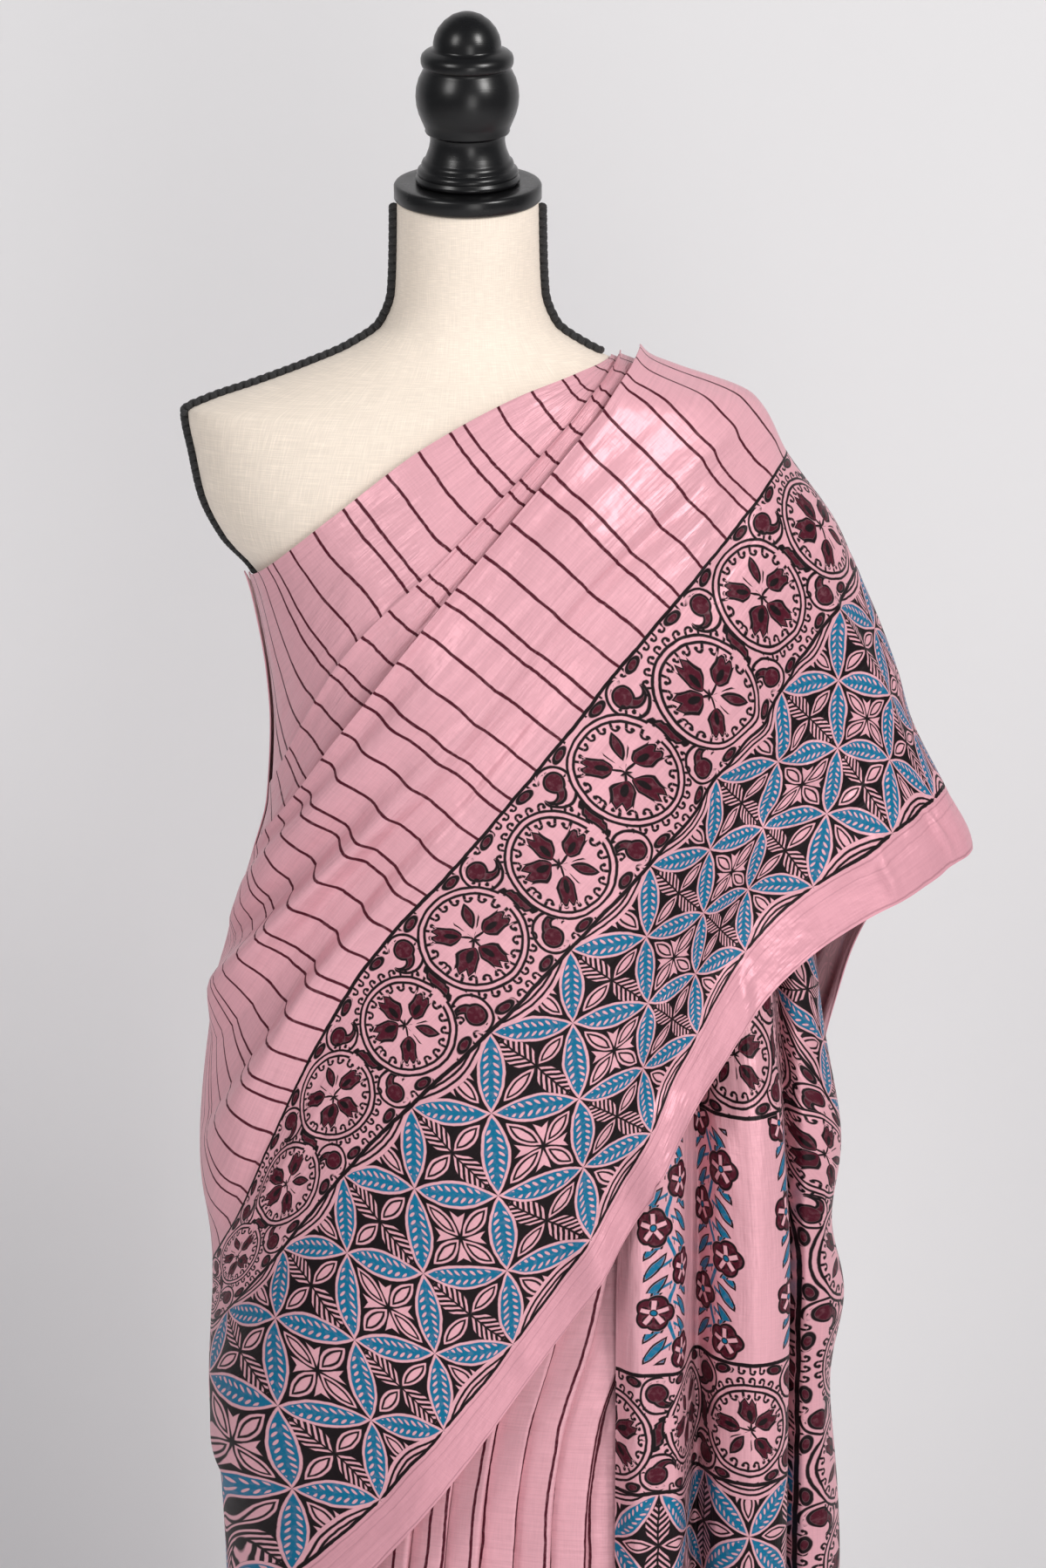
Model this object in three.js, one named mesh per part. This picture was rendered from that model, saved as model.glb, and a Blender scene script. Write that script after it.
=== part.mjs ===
// A silk saree draped in the nivi style on a covered dress form with a turned neck cap and a round stand.
// Units are millimetres. +Z is up, the front faces -Y, and the origin is on the floor under the pole.
import * as THREE from "three";
import { mergeVertices } from "three/addons/utils/BufferGeometryUtils.js";

// Driving sizes of the cloth.
const CLOTH_WALL = 1.2;
const LAYER_STEP = 2.9; // from one pleat of the shoulder to the next, where they bunch
const SIDE_STEP = 1.7; // the same at the left side, where they part from one flat cloth
const SEAM_GAP = 0.3;
const TUCK = 2.2; // from one layer to the next where they are tucked in at the waist
const WRAP_EASE = 9; // from the first wrap to the second below the waist
const HEM_HEIGHT = 6; // the skirt's hem above the floor
const PALLU_END_HEIGHT = 430; // the loose end's hem above the floor
const PLEAT_COUNT = 7;
const PLEAT_RISE = 8;

// Driving sizes of the form and its stand.
const FORM_BOTTOM = 722;
const NECK_TOP = 1522;
const NECK_TILT = THREE.MathUtils.degToRad(11);
const NECK_CENTRE = -12;
const CAP_RADIUS = 51;
const CAP_THICKNESS = 12;
const BRAID_WIDTH = 9;
const BRAID_RISE = 3.4;
const BRAID_TOP = 1519; // just under the cap
const BRAID_END_LEFT = 1270; // where the cloth covers it
const BRAID_END_RIGHT = 1418;
const POLE_RADIUS = 16;
const BASE_RADIUS = 160;
const BASE_THICKNESS = 14;

// Horizontal sections of the form: half width, and how far it reaches to the front and the back.
const TORSO = [
  { z: 1522, half: 49, front: 47, back: 47, shift: -12 },
  { z: 1490, half: 49.5, front: 48, back: 48, shift: -8 },
  { z: 1458, half: 51, front: 50, back: 51, shift: -2 },
  { z: 1436, half: 59, front: 53, back: 55, shift: 0 },
  { z: 1420, half: 81, front: 57, back: 60, shift: 0 },
  { z: 1407, half: 111, front: 62, back: 66, shift: 0 },
  { z: 1394, half: 146, front: 70, back: 74, shift: 0 },
  { z: 1382, half: 181, front: 77, back: 80, shift: 0 },
  { z: 1374, half: 196, front: 81, back: 84, shift: 0 },
  { z: 1345, half: 191, front: 93, back: 92, shift: 0 },
  { z: 1316, half: 185, front: 103, back: 97, shift: 0 },
  { z: 1286, half: 170, front: 112, back: 100, shift: 0 },
  { z: 1264, half: 150, front: 115, back: 101, shift: 0 },
  { z: 1245, half: 141, front: 117, back: 101, shift: 0 },
  { z: 1190, half: 131, front: 112, back: 97, shift: 0 },
  { z: 1120, half: 121, front: 97, back: 90, shift: 0 },
  { z: 1060, half: 114, front: 87, back: 84, shift: 0 },
  { z: 1015, half: 112, front: 84, back: 82, shift: 0 },
  { z: 960, half: 125, front: 91, back: 94, shift: 0 },
  { z: 900, half: 143, front: 101, back: 110, shift: 0 },
  { z: 845, half: 154, front: 108, back: 118, shift: 0 },
  { z: 790, half: 158, front: 109, back: 119, shift: 0 },
  { z: 745, half: 155, front: 105, back: 112, shift: 0 },
  { z: 722, half: 149, front: 99, back: 105, shift: 0 },
];

// Horizontal sections of the outer cloth. Left is the saree's reach to -X, right its reach to +X.
const DRAPE = [
  { z: 1430, left: 60, right: 66, front: 52, back: 50 },
  { z: 1413, left: 100, right: 99, front: 66, back: 68 },
  { z: 1398, left: 140, right: 141, front: 77, back: 79 },
  { z: 1378, left: 190, right: 193, front: 88, back: 88 },
  { z: 1341, left: 192, right: 214, front: 104, back: 98 },
  { z: 1290, left: 174, right: 250, front: 118, back: 106 },
  { z: 1261, left: 154, right: 263, front: 124, back: 109 },
  { z: 1235, left: 147, right: 275, front: 128, back: 110 },
  { z: 1186, left: 139, right: 294, front: 131, back: 108 },
  { z: 1155, left: 137, right: 303, front: 131, back: 106 },
  { z: 1099, left: 140, right: 331, front: 130, back: 103 },
  { z: 1061, left: 150, right: 349, front: 130, back: 101 },
  { z: 1015, left: 164, right: 350, front: 131, back: 102 },
  { z: 947, left: 181, right: 350, front: 135, back: 117 },
  { z: 841, left: 191, right: 350, front: 141, back: 133 },
  { z: 758, left: 183, right: 350, front: 145, back: 136 },
  { z: 665, left: 187, right: 350, front: 149, back: 138 },
  { z: 587, left: 179, right: 350, front: 152, back: 141 },
  { z: 500, left: 176, right: 350, front: 155, back: 145 },
  { z: 400, left: 180, right: 350, front: 160, back: 152 },
  { z: 200, left: 194, right: 350, front: 172, back: 169 },
  { z: 0, left: 216, right: 350, front: 188, back: 190 },
];

// Horizontal sections of the skirt's first wrap.
const SKIRT = [
  { z: 1018, half: 113, front: 85, back: 83 },
  { z: 960, half: 133, front: 99, back: 103 },
  { z: 900, half: 151, front: 109, back: 119 },
  { z: 845, half: 161, front: 115, back: 126 },
  { z: 790, half: 165, front: 117, back: 127 },
  { z: 700, half: 165, front: 119, back: 127 },
  { z: 550, half: 164, front: 123, back: 131 },
  { z: 400, half: 167, front: 131, back: 140 },
  { z: 200, half: 182, front: 148, back: 158 },
  { z: 0, half: 204, front: 168, back: 179 },
];

// Lines along the cloth's length, seen from the front, by height: at the left outline, at quarters of the
// way across, and at the right outline. Place is the distance from the lower selvedge as the cloth shows.
const RAILS = [
  { name: "top selvedge", place: 590, left: 1261, quarter: 1314, middle: 1361, threeQuarter: 1393, right: 1413 },
  { name: "upper fold", place: 490, left: 1109, quarter: 1223, middle: 1285, threeQuarter: 1347, right: 1411 },
  { name: "lower fold", place: 413, left: 1040, quarter: 1152, middle: 1250, threeQuarter: 1331, right: 1407 },
  { name: "plain middle", place: 350, left: 930, quarter: 1066, middle: 1184, threeQuarter: 1293, right: 1375 },
  { name: "vine band", place: 278, left: 757, quarter: 980, middle: 1108, threeQuarter: 1230, right: 1341 },
  { name: "leaf band", place: 190, left: 712, quarter: 872, middle: 988, threeQuarter: 1113, right: 1261 },
  { name: "plain edge", place: 35, left: 500, quarter: 640, middle: 806, threeQuarter: 1018, right: 1104 },
  { name: "lower selvedge", place: 0, left: 440, quarter: 597, middle: 779, threeQuarter: 984, right: 1061 },
];
const TOP_SELVEDGE = 590;
const UPPER_FOLD = 490;
const LOWER_FOLD = 413;
const UNDERLAP = 19; // how far each pleat runs on beneath the next

// Soft folds that fan from the shoulder to the left hip: what place each lies at, how far it
// leans over its run, its half width, its height, and the part of the run where it is highest.
const FAN_FOLDS = [
  { place: 388, lean: 10, half: 10, height: 7, peak: 0.3 },
  { place: 360, lean: 20, half: 11, height: 9, peak: 0.22 },
  { place: 330, lean: 28, half: 11, height: -7, peak: 0.18 },
  { place: 302, lean: 16, half: 13, height: 6, peak: 0.3 },
  { place: 234, lean: 29, half: 33, height: -5, peak: 0.12 },
  { place: 121, lean: 46, half: 34, height: 6, peak: 0.12 },
  { place: 64, lean: 11, half: 27, height: -5, peak: 0.3 },
];

// Waves of the lower selvedge: the run where each stands, its half width, its height and its reach upwards.
const EDGE_WAVES = [
  { run: 0.62, half: 0.022, height: 6, reach: 90 },
  { run: 0.585, half: 0.016, height: -4, reach: 60 },
  { run: 0.556, half: 0.014, height: 8, reach: 70 },
  { run: 0.53, half: 0.012, height: -5, reach: 50 },
  { run: 0.506, half: 0.014, height: 7, reach: 80 },
  { run: 0.45, half: 0.03, height: -4, reach: 70 },
  { run: 0.36, half: 0.03, height: 4, reach: 70 },
  { run: 0.7, half: 0.03, height: -4, reach: 70 },
  { run: 0.8, half: 0.03, height: 5, reach: 60 },
  { run: 0.9, half: 0.03, height: -4, reach: 60 },
];

// The drop where the cloth leaves the bust for the open wing at the right.
const DROP = [
  { z: 1378, start: 140, width: 90, share: 0 },
  { z: 1290, start: 130, width: 110, share: 0.1 },
  { z: 1200, start: 120, width: 120, share: 0.26 },
  { z: 1120, start: 105, width: 120, share: 0.36 },
  { z: 1060, start: 95, width: 110, share: 0.36 },
  { z: 1000, start: 80, width: 100, share: 0.26 },
  { z: 930, start: 70, width: 90, share: 0.12 },
  { z: 850, start: 70, width: 80, share: 0 },
];

// The second wrap behind: heights of its two edges, by the turn in degrees from the left side round the
// back to the right side.
const WRAP_BACK = [
  { turn: 0, top: 1261, low: 440 },
  { turn: 45, top: 1185, low: 240 },
  { turn: 90, top: 1105, low: 85 },
  { turn: 135, top: 1050, low: 22 },
  { turn: 180, top: 1018, low: HEM_HEIGHT },
  { turn: 228, top: 1016, low: HEM_HEIGHT },
];

// The right edge of the front pleats, and their left edge, by height.
const PLEAT_EDGES = [
  { z: 1005, left: 10, right: 112 },
  { z: 900, left: -8, right: 146 },
  { z: 831, left: -22, right: 150 },
  { z: 745, left: -38, right: 136 },
  { z: 663, left: -54, right: 110 },
  { z: 600, left: -64, right: 104 },
  { z: 400, left: -86, right: 112 },
  { z: 0, left: -128, right: 140 },
];

// One front pleat, from where it leaves the one before it to its folded edge, in shares of its own width
// and of its rise.
const PLEAT_PROFILE = [
  { share: 0.02, height: 0 },
  { share: 0.35, height: 0.42 },
  { share: 0.7, height: 0.78 },
  { share: 0.93, height: 1 },
  { share: 0.98, height: 0.9 },
];

// The loose end's rolls beside the hip, in plan, at its top and at its hem, from the pleats outwards.
const END_ROLLS = [
  { name: "tucked edge", place: 343, topX: 132, topY: -66, lowX: 103, lowY: -130 },
  { name: "inner roll side", place: 320, topX: 142, topY: -58, lowX: 120, lowY: -145 },
  { name: "inner roll", place: 293, topX: 150, topY: -50, lowX: 146, lowY: -138 },
  { name: "first valley", place: 240, topX: 160, topY: -22, lowX: 162, lowY: -84 },
  { name: "main roll side", place: 213, topX: 172, topY: -34, lowX: 176, lowY: -112 },
  { name: "main roll", place: 187, topX: 190, topY: -36, lowX: 201, lowY: -126 },
  { name: "main roll far side", place: 157, topX: 208, topY: -24, lowX: 226, lowY: -104 },
  { name: "second valley", place: 101, topX: 215, topY: 0, lowX: 229, lowY: -44 },
  { name: "edge roll side", place: 82, topX: 226, topY: -10, lowX: 240, lowY: -62 },
  { name: "edge roll", place: 66, topX: 240, topY: -6, lowX: 255, lowY: -56 },
  { name: "edge roll far side", place: 26, topX: 248, topY: 0, lowX: 266, lowY: -18 },
  { name: "free edge", place: 0, topX: 244, topY: 8, lowX: 262, lowY: 8 },
];
const END_TOP = 1090;

// The loose end behind: how far it turns round the back at its inner and outer edges, by its run.
const PALLU_BACK = [
  { run: 0, inner: 90, outer: 90 },
  { run: 0.12, inner: 118, outer: 96 },
  { run: 0.3, inner: 148, outer: 101 },
  { run: 0.55, inner: 178, outer: 103 },
  { run: 1, inner: 198, outer: 104 },
];
const PALLU_RIGHT = [
  { z: 1413, reach: 99 },
  { z: 1398, reach: 141 },
  { z: 1378, reach: 193 },
  { z: 1341, reach: 214 },
  { z: 1290, reach: 250 },
  { z: 1235, reach: 275 },
  { z: 1155, reach: 303 },
  { z: 1099, reach: 331 },
  { z: 1061, reach: 347 },
  { z: 1040, reach: 316 },
  { z: 1015, reach: 284 },
  { z: 960, reach: 262 },
  { z: 877, reach: 246 },
  { z: 783, reach: 246 },
  { z: 400, reach: 252 },
];
const PALLU_FOLDS = 6;
const PALLU_FOLD_HEIGHT = 11;
const PALLU_CLEARANCE = 8.8; // how far the loose end stands off the front drape's surface

const clamp = (v, lo, hi) => Math.min(hi, Math.max(lo, v));
const mix = (a, b, t) => a + (b - a) * t;
const smooth = (t) => {
  const c = clamp(t, 0, 1);
  return c * c * (3 - 2 * c);
};

// A smooth curve through a table's rows that never swings past them.
function follow(rows, key, value, at) {
  const up = rows[rows.length - 1][key] > rows[0][key];
  const list = up ? rows : [...rows].reverse();
  const x = clamp(at, list[0][key], list[list.length - 1][key]);
  let i = 0;
  while (i < list.length - 2 && x > list[i + 1][key]) i += 1;
  const slope = (k) => (list[k + 1][value] - list[k][value]) / (list[k + 1][key] - list[k][key]);
  const bend = (k) => {
    if (k === 0) return slope(0);
    if (k === list.length - 1) return slope(k - 1);
    const before = slope(k - 1);
    const after = slope(k);
    return before * after <= 0 ? 0 : (2 * before * after) / (before + after);
  };
  const span = list[i + 1][key] - list[i][key];
  const t = (x - list[i][key]) / span;
  const rise = (1 + 2 * t) * (1 - t) ** 2 * list[i][value] + t * t * (3 - 2 * t) * list[i + 1][value];
  return rise + span * (t * (1 - t) ** 2 * bend(i) + t * t * (t - 1) * bend(i + 1));
}

// A closed wall between two grids of points. The grids run along rows, and the first one is the outside.
function wall(outer, inner, round = false) {
  const rows = outer.length;
  const count = outer[0].length;
  const points = [...outer.flat(), ...inner.flat()];
  const far = rows * count;
  const faces = [];
  const quad = (a, b, c, d) => faces.push(a, b, c, a, c, d);
  const at = (i, j) => (i % rows) * count + j;
  const spans = round ? rows : rows - 1;
  for (let i = 0; i < spans; i += 1) {
    for (let j = 0; j < count - 1; j += 1) {
      quad(at(i, j), at(i + 1, j), at(i + 1, j + 1), at(i, j + 1));
      quad(far + at(i, j), far + at(i, j + 1), far + at(i + 1, j + 1), far + at(i + 1, j));
    }
    quad(at(i, 0), far + at(i, 0), far + at(i + 1, 0), at(i + 1, 0));
    const last = count - 1;
    quad(at(i, last), at(i + 1, last), far + at(i + 1, last), far + at(i, last));
  }
  if (!round) {
    for (let j = 0; j < count - 1; j += 1) {
      quad(at(0, j), at(0, j + 1), far + at(0, j + 1), far + at(0, j));
      const end = rows - 1;
      quad(at(end, j), far + at(end, j), far + at(end, j + 1), at(end, j + 1));
    }
  }
  return solid(points, faces);
}

// A closed body through rings of points, from the bottom ring to the top one.
function loft(rings) {
  const count = rings[0].length;
  const points = rings.flat();
  const faces = [];
  for (let i = 0; i < rings.length - 1; i += 1) {
    for (let j = 0; j < count; j += 1) {
      const a = i * count + j;
      const b = i * count + ((j + 1) % count);
      faces.push(a, b, b + count, a, b + count, a + count);
    }
  }
  const top = (rings.length - 1) * count;
  for (let j = 1; j < count - 1; j += 1) {
    faces.push(0, j + 1, j);
    faces.push(top, top + j, top + j + 1);
  }
  return solid(points, faces);
}

// A geometry from points and faces, turned round where its faces point inwards.
function solid(points, faces) {
  const geometry = new THREE.BufferGeometry();
  const places = points.flatMap((p) => [p.x, p.y, p.z]);
  geometry.setAttribute("position", new THREE.Float32BufferAttribute(places, 3));
  geometry.setIndex(faces);
  let volume = 0;
  for (let i = 0; i < faces.length; i += 3) {
    const [a, b, c] = [points[faces[i]], points[faces[i + 1]], points[faces[i + 2]]];
    volume += a.dot(b.clone().cross(c)) / 6;
  }
  if (volume < 0) {
    for (let i = 0; i < faces.length; i += 3) [faces[i + 1], faces[i + 2]] = [faces[i + 2], faces[i + 1]];
    geometry.setIndex(faces);
  }
  geometry.computeVertexNormals();
  return geometry;
}

const spread = (count, from = 0, to = 1) =>
  Array.from({ length: count + 1 }, (_, i) => mix(from, to, i / count));

// A wall that lies on a surface of two parameters, from one distance off it to another. Its outside is
// the side that faces away from the form's axis at the surface's middle.
function wallOn(surface, runs, crosses, inside, outside) {
  const step = 1e-3;
  const normal = (s, t) => {
    const along = surface(s + step, t).sub(surface(s - step, t));
    const over = surface(s, t + step).sub(surface(s, t - step));
    return along.cross(over).normalize();
  };
  const middle = [runs[runs.length >> 1], crosses[crosses.length >> 1]];
  const facing = normal(...middle).dot(surface(...middle).setZ(0)) < 0 ? -1 : 1;
  const grid = (distance) =>
    runs.map((s) =>
      crosses.map((t) => {
        const reach = typeof distance === "function" ? distance(s, t) : distance;
        return surface(s, t).addScaledVector(normal(s, t), facing * reach);
      }),
    );
  return wall(grid(outside), grid(inside));
}

// The front drape: run goes 0 to 1 from the left outline to the right one.
const railHeight = (column, place) => follow(RAILS, "place", column, place);
function frontPoint(run, place) {
  const swing = Math.PI * (clamp(run, 0, 1) - 0.5);
  const share = (1 + Math.sin(swing)) / 2;
  const stations = [
    { share: 0, z: railHeight("left", place) },
    { share: 0.25, z: railHeight("quarter", place) },
    { share: 0.5, z: railHeight("middle", place) },
    { share: 0.75, z: railHeight("threeQuarter", place) },
    { share: 1, z: railHeight("right", place) },
  ];
  const z = follow(stations, "share", "z", share);
  const left = -follow(DRAPE, "z", "left", stations[0].z);
  const right = follow(DRAPE, "z", "right", stations[4].z);
  const x = mix(left, right, share);
  return new THREE.Vector3(x, -frontDepth(x, z), z);
}

function frontDepth(x, z) {
  const reach = x < 0 ? follow(DRAPE, "z", "left", z) : follow(DRAPE, "z", "right", z);
  const across = clamp(Math.abs(x) / reach, 0, 1);
  const ellipse = Math.sqrt(Math.max(0, 1 - across * across));
  const drop = follow(DROP, "z", "share", z);
  const start = follow(DROP, "z", "start", z);
  const width = follow(DROP, "z", "width", z);
  return follow(DRAPE, "z", "front", z) * ellipse * (1 - drop * smooth((x - start) / width));
}

const FOLD_BASE = 3; // keeps the fan's hollows off the pleats below
const bump = (d) => Math.exp(-d * d);
function fanRelief(run, place) {
  let rise = 0;
  for (const fold of FAN_FOLDS) {
    const line = fold.place - fold.lean * run;
    const strength = run < fold.peak ? 1 : 1 - smooth((run - fold.peak) / (0.95 - fold.peak));
    rise += fold.height * strength * bump((place - line) / fold.half);
  }
  for (const wave of EDGE_WAVES) {
    rise += wave.height * bump((run - wave.run) / wave.half) * bump(place / wave.reach);
  }
  const foldedEdge = 5 * bump((LOWER_FOLD - place) / 9) * smooth((run - 0.02) / 0.2);
  return rise * smooth((run - 0.02) / 0.12) + foldedEdge;
}

const FRONT_RUNS = spread(40);
const DRAPE_RUNS = [...spread(17, 0, 0.425), ...spread(16, 0.4375, 0.6375), ...spread(13, 0.6625, 1)];

const DRAPE_PLACES = [LOWER_FOLD, 404, 392, 378, 362, 346, 326, 304, 282, 244, 205, 161, 115, 69, 30, 0];

const layerLift = (layer, run) => layer * mix(SIDE_STEP, LAYER_STEP, smooth(run / 0.25));

function frontDrape() {
  const outside = (run, place) =>
    layerLift(2, run) + CLOTH_WALL + Math.max(0, fanRelief(run, place) + FOLD_BASE * smooth(run / 0.2));
  const inside = (run, place) => outside(run, place) - CLOTH_WALL;
  return wallOn(frontPoint, DRAPE_RUNS, DRAPE_PLACES, inside, outside);
}

function shoulderPleat(upper, lower, layer) {
  const crosses = spread(4, upper, lower);
  const inside = (run) => layerLift(layer, run);
  const outside = (run) => inside(run) + CLOTH_WALL;
  return wallOn(frontPoint, FRONT_RUNS, crosses, inside, outside);
}

// The second wrap: from the left outline round the back to the right of the pleats.
function wrapPoint(turn, level) {
  const angle = THREE.MathUtils.degToRad(turn);
  const top = follow(WRAP_BACK, "turn", "top", turn);
  const low = follow(WRAP_BACK, "turn", "low", turn);
  const z = mix(low, top, level);
  const toRight = smooth((turn - 90) / 60);
  const ease = mix(TUCK, WRAP_EASE, smooth((1014 - z) / 60));
  const hip = follow(SKIRT, "z", "half", z) + ease;
  const side = turn < 90 ? follow(DRAPE, "z", "left", z) : hip;
  const back = mix(follow(DRAPE, "z", "back", z), follow(SKIRT, "z", "back", z) + ease, toRight);
  const depth = turn <= 180 ? back : follow(SKIRT, "z", "front", z) + Math.min(ease, 5);
  const fold = 3.4 * Math.sin(turn * 0.29 + 2.2 * level) * smooth(turn / 30) * (1 - smooth((turn - 165) / 20));
  const x = -side * Math.cos(angle);
  const y = depth * Math.sin(angle);
  const out = new THREE.Vector3(x, y, 0).normalize();
  return new THREE.Vector3(x, y + SEAM_GAP, z).addScaledVector(out, fold * smooth(level * 8));
}

function secondWrap() {
  const turns = spread(38, 0, 228);
  const levels = [0, 0.06, 0.18, 0.32, 0.46, 0.6, 0.72, 0.82, 0.91, 1];
  const inside = (turn) => 2 * SIDE_STEP * (1 - smooth((turn - 90) / 60));
  const outside = (turn) => inside(turn) + CLOTH_WALL;
  return wallOn(wrapPoint, turns, levels, inside, outside);
}

function firstWrap() {
  const levels = [1018, 960, 900, 845, 790, 700, 550, 400, 200, HEM_HEIGHT];
  const turns = spread(39, 0, 360 - 360 / 40);
  const ring = (grow) =>
    turns.map((turn) =>
      levels.map((z) => {
        const angle = THREE.MathUtils.degToRad(turn);
        const half = follow(SKIRT, "z", "half", z) + grow;
        const depth = follow(SKIRT, "z", Math.sin(angle) < 0 ? "front" : "back", z) + grow;
        return new THREE.Vector3(half * Math.cos(angle), depth * Math.sin(angle), z);
      }),
    );
  return wall(ring(CLOTH_WALL), ring(0), true);
}

// The front pleats: each rises to its folded edge on the right and steps down on to the next.
function pleatPoint(place, z, grow) {
  const left = follow(PLEAT_EDGES, "z", "left", z);
  const right = follow(PLEAT_EDGES, "z", "right", z);
  const x = mix(left, right, place.share);
  const half = follow(SKIRT, "z", "half", z) + 14;
  const depth = follow(SKIRT, "z", "front", z) + mix(TUCK - 1, 6, smooth((1000 - z) / 60));
  const curve = (1 - clamp(Math.abs(x) / half, 0, 1) ** 2.5) ** 0.4;
  const rise = PLEAT_RISE * place.height * mix(0.45, 1, smooth((1010 - z) / 200));
  const base = new THREE.Vector3(x, -depth * curve, 0);
  const out = new THREE.Vector3(x * 0.5, -depth, 0).normalize();
  return base.addScaledVector(out, rise + grow).setZ(z);
}

function frontPleats() {
  const places = [];
  for (let k = 0; k < PLEAT_COUNT; k += 1) {
    for (const { share, height } of PLEAT_PROFILE) places.push({ share: (k + share) / PLEAT_COUNT, height });
  }
  const levels = [1005, 950, 900, 850, 800, 750, 700, 640, 560, 400, 200, HEM_HEIGHT];
  const grid = (grow) => places.map((place) => levels.map((z) => pleatPoint(place, z, grow)));
  return wall(grid(CLOTH_WALL), grid(0));
}

// The loose end's rolls beside the hip.
function endRollPoint(place, z) {
  const fall = smooth((END_TOP - z) / 330);
  const roll = (column) => follow(END_ROLLS, "place", column, place);
  const column = (top, low) => mix(roll(top), roll(low), fall);
  return new THREE.Vector3(column("topX", "lowX"), column("topY", "lowY"), z);
}

function palluEnd() {
  const places = [];
  const tucked = END_ROLLS[0].place;
  for (let i = 0; i < END_ROLLS.length - 1; i += 1) {
    places.push(...spread(3, END_ROLLS[i].place, END_ROLLS[i + 1].place).slice(0, 3));
  }
  places.push(0);
  const levels = [END_TOP, 1030, 970, 900, 820, 740, 640, 530, PALLU_END_HEIGHT];
  const grid = (inward) =>
    places.map((place) =>
      levels.map((z) => {
        const p = endRollPoint(place, z);
        const along = endRollPoint(Math.max(0, place - 1), z).sub(endRollPoint(Math.min(tucked, place + 1), z));
        return p.add(new THREE.Vector3(-along.y, along.x, 0).setLength(inward));
      }),
    );
  return wall(grid(0), grid(CLOTH_WALL));
}

// The loose end behind, from the shoulder's ridge and the wing down the back. It starts square to the
// front drape's end and then hangs in folds, clear of the wraps below it.
function palluPoint(run, width) {
  const start = railHeight("right", mix(LOWER_FOLD, 0, width));
  const z = mix(start, PALLU_END_HEIGHT, clamp(run, 0, 1) ** 1.15);
  const inner = follow(PALLU_BACK, "run", "inner", run);
  const outer = follow(PALLU_BACK, "run", "outer", run);
  const angle = THREE.MathUtils.degToRad(mix(inner, outer, width));
  const cut = Math.sin(angle) > 0 ? follow(PALLU_RIGHT, "z", "reach", z) : follow(DRAPE, "z", "left", z) + 12;
  const back = follow(DRAPE, "z", "back", z) + 14 * smooth(run * 5);
  const x = cut * Math.sin(angle);
  const y = SEAM_GAP - back * Math.cos(angle);
  const fold = smooth((run - 0.12) / 0.4) * Math.sin(Math.PI * 2 * PALLU_FOLDS * width + 0.6 * run);
  const stand = smooth((run - 0.08) / 0.3);
  const turned = smooth(run / 0.08);
  const out = new THREE.Vector3(x * mix(1, 0.6, turned), back * turned, 0).normalize();
  return new THREE.Vector3(x, y, z).addScaledVector(out, PALLU_CLEARANCE + PALLU_FOLD_HEIGHT * (fold + stand));
}

function palluBack() {
  const runs = [0, 0.01, 0.022, 0.037, 0.055, 0.08, 0.12, 0.18, 0.26, 0.36, 0.48, 0.62, 0.8, 1];
  const widths = spread(36);
  return wallOn(palluPoint, runs, widths, 0, CLOTH_WALL);
}

// The form's body, solid and smooth, with its neck leaning forward.
function torsoRing(level, count, grow = 0) {
  const tilt = level.z >= NECK_TOP ? Math.tan(NECK_TILT) : 0;
  return spread(count - 1, 0, 2 * Math.PI * (1 - 1 / count)).map((angle) => {
    const depth = (Math.sin(angle) < 0 ? level.front : level.back) + grow;
    const x = (level.half + grow) * Math.cos(angle);
    const y = depth * Math.sin(angle) + level.shift;
    return new THREE.Vector3(x, y, level.z + (y - NECK_CENTRE) * tilt);
  });
}

const torso = () => loft([...TORSO].reverse().map((level) => torsoRing(level, 28)));

// Braid over the side seam: a low ridge that follows the form's outline from the neck to the cloth.
function braid(side, lowest) {
  const half = follow(TORSO, "z", "half", BRAID_TOP);
  const shift = follow(TORSO, "z", "shift", BRAID_TOP);
  const rows = [{ z: BRAID_TOP, half, shift }, ...TORSO.filter((level) => level.z < NECK_TOP && level.z > lowest)];
  const stations = spread(2 * (rows.length - 1), 0, rows.length - 1).map((at) => {
    const i = Math.min(Math.floor(at), rows.length - 2);
    return new THREE.Vector3(
      side * mix(rows[i].half, rows[i + 1].half, at - i),
      mix(rows[i].shift, rows[i + 1].shift, at - i),
      mix(rows[i].z, rows[i + 1].z, at - i),
    );
  });
  const section = [
    { rise: SEAM_GAP + 0.5, reach: -BRAID_WIDTH / 2 },
    { rise: SEAM_GAP + BRAID_RISE, reach: -BRAID_WIDTH / 4 },
    { rise: SEAM_GAP + BRAID_RISE, reach: BRAID_WIDTH / 4 },
    { rise: SEAM_GAP + 0.5, reach: BRAID_WIDTH / 2 },
  ];
  return loft(
    stations.map((p, i) => {
      const before = stations[Math.max(0, i - 1)];
      const after = stations[Math.min(stations.length - 1, i + 1)];
      const out = new THREE.Vector3(before.z - after.z, 0, after.x - before.x).normalize();
      if (out.x * side < 0) out.negate();
      return section.map((s) => p.clone().addScaledVector(out, s.rise).add(new THREE.Vector3(0, s.reach, 0)));
    }),
  );
}

const onNeck = (geometry, rise) => {
  geometry.rotateX(Math.PI / 2);
  geometry.translate(0, 0, rise);
  geometry.rotateX(NECK_TILT);
  geometry.translate(0, NECK_CENTRE, NECK_TOP);
  return geometry;
};

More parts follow.
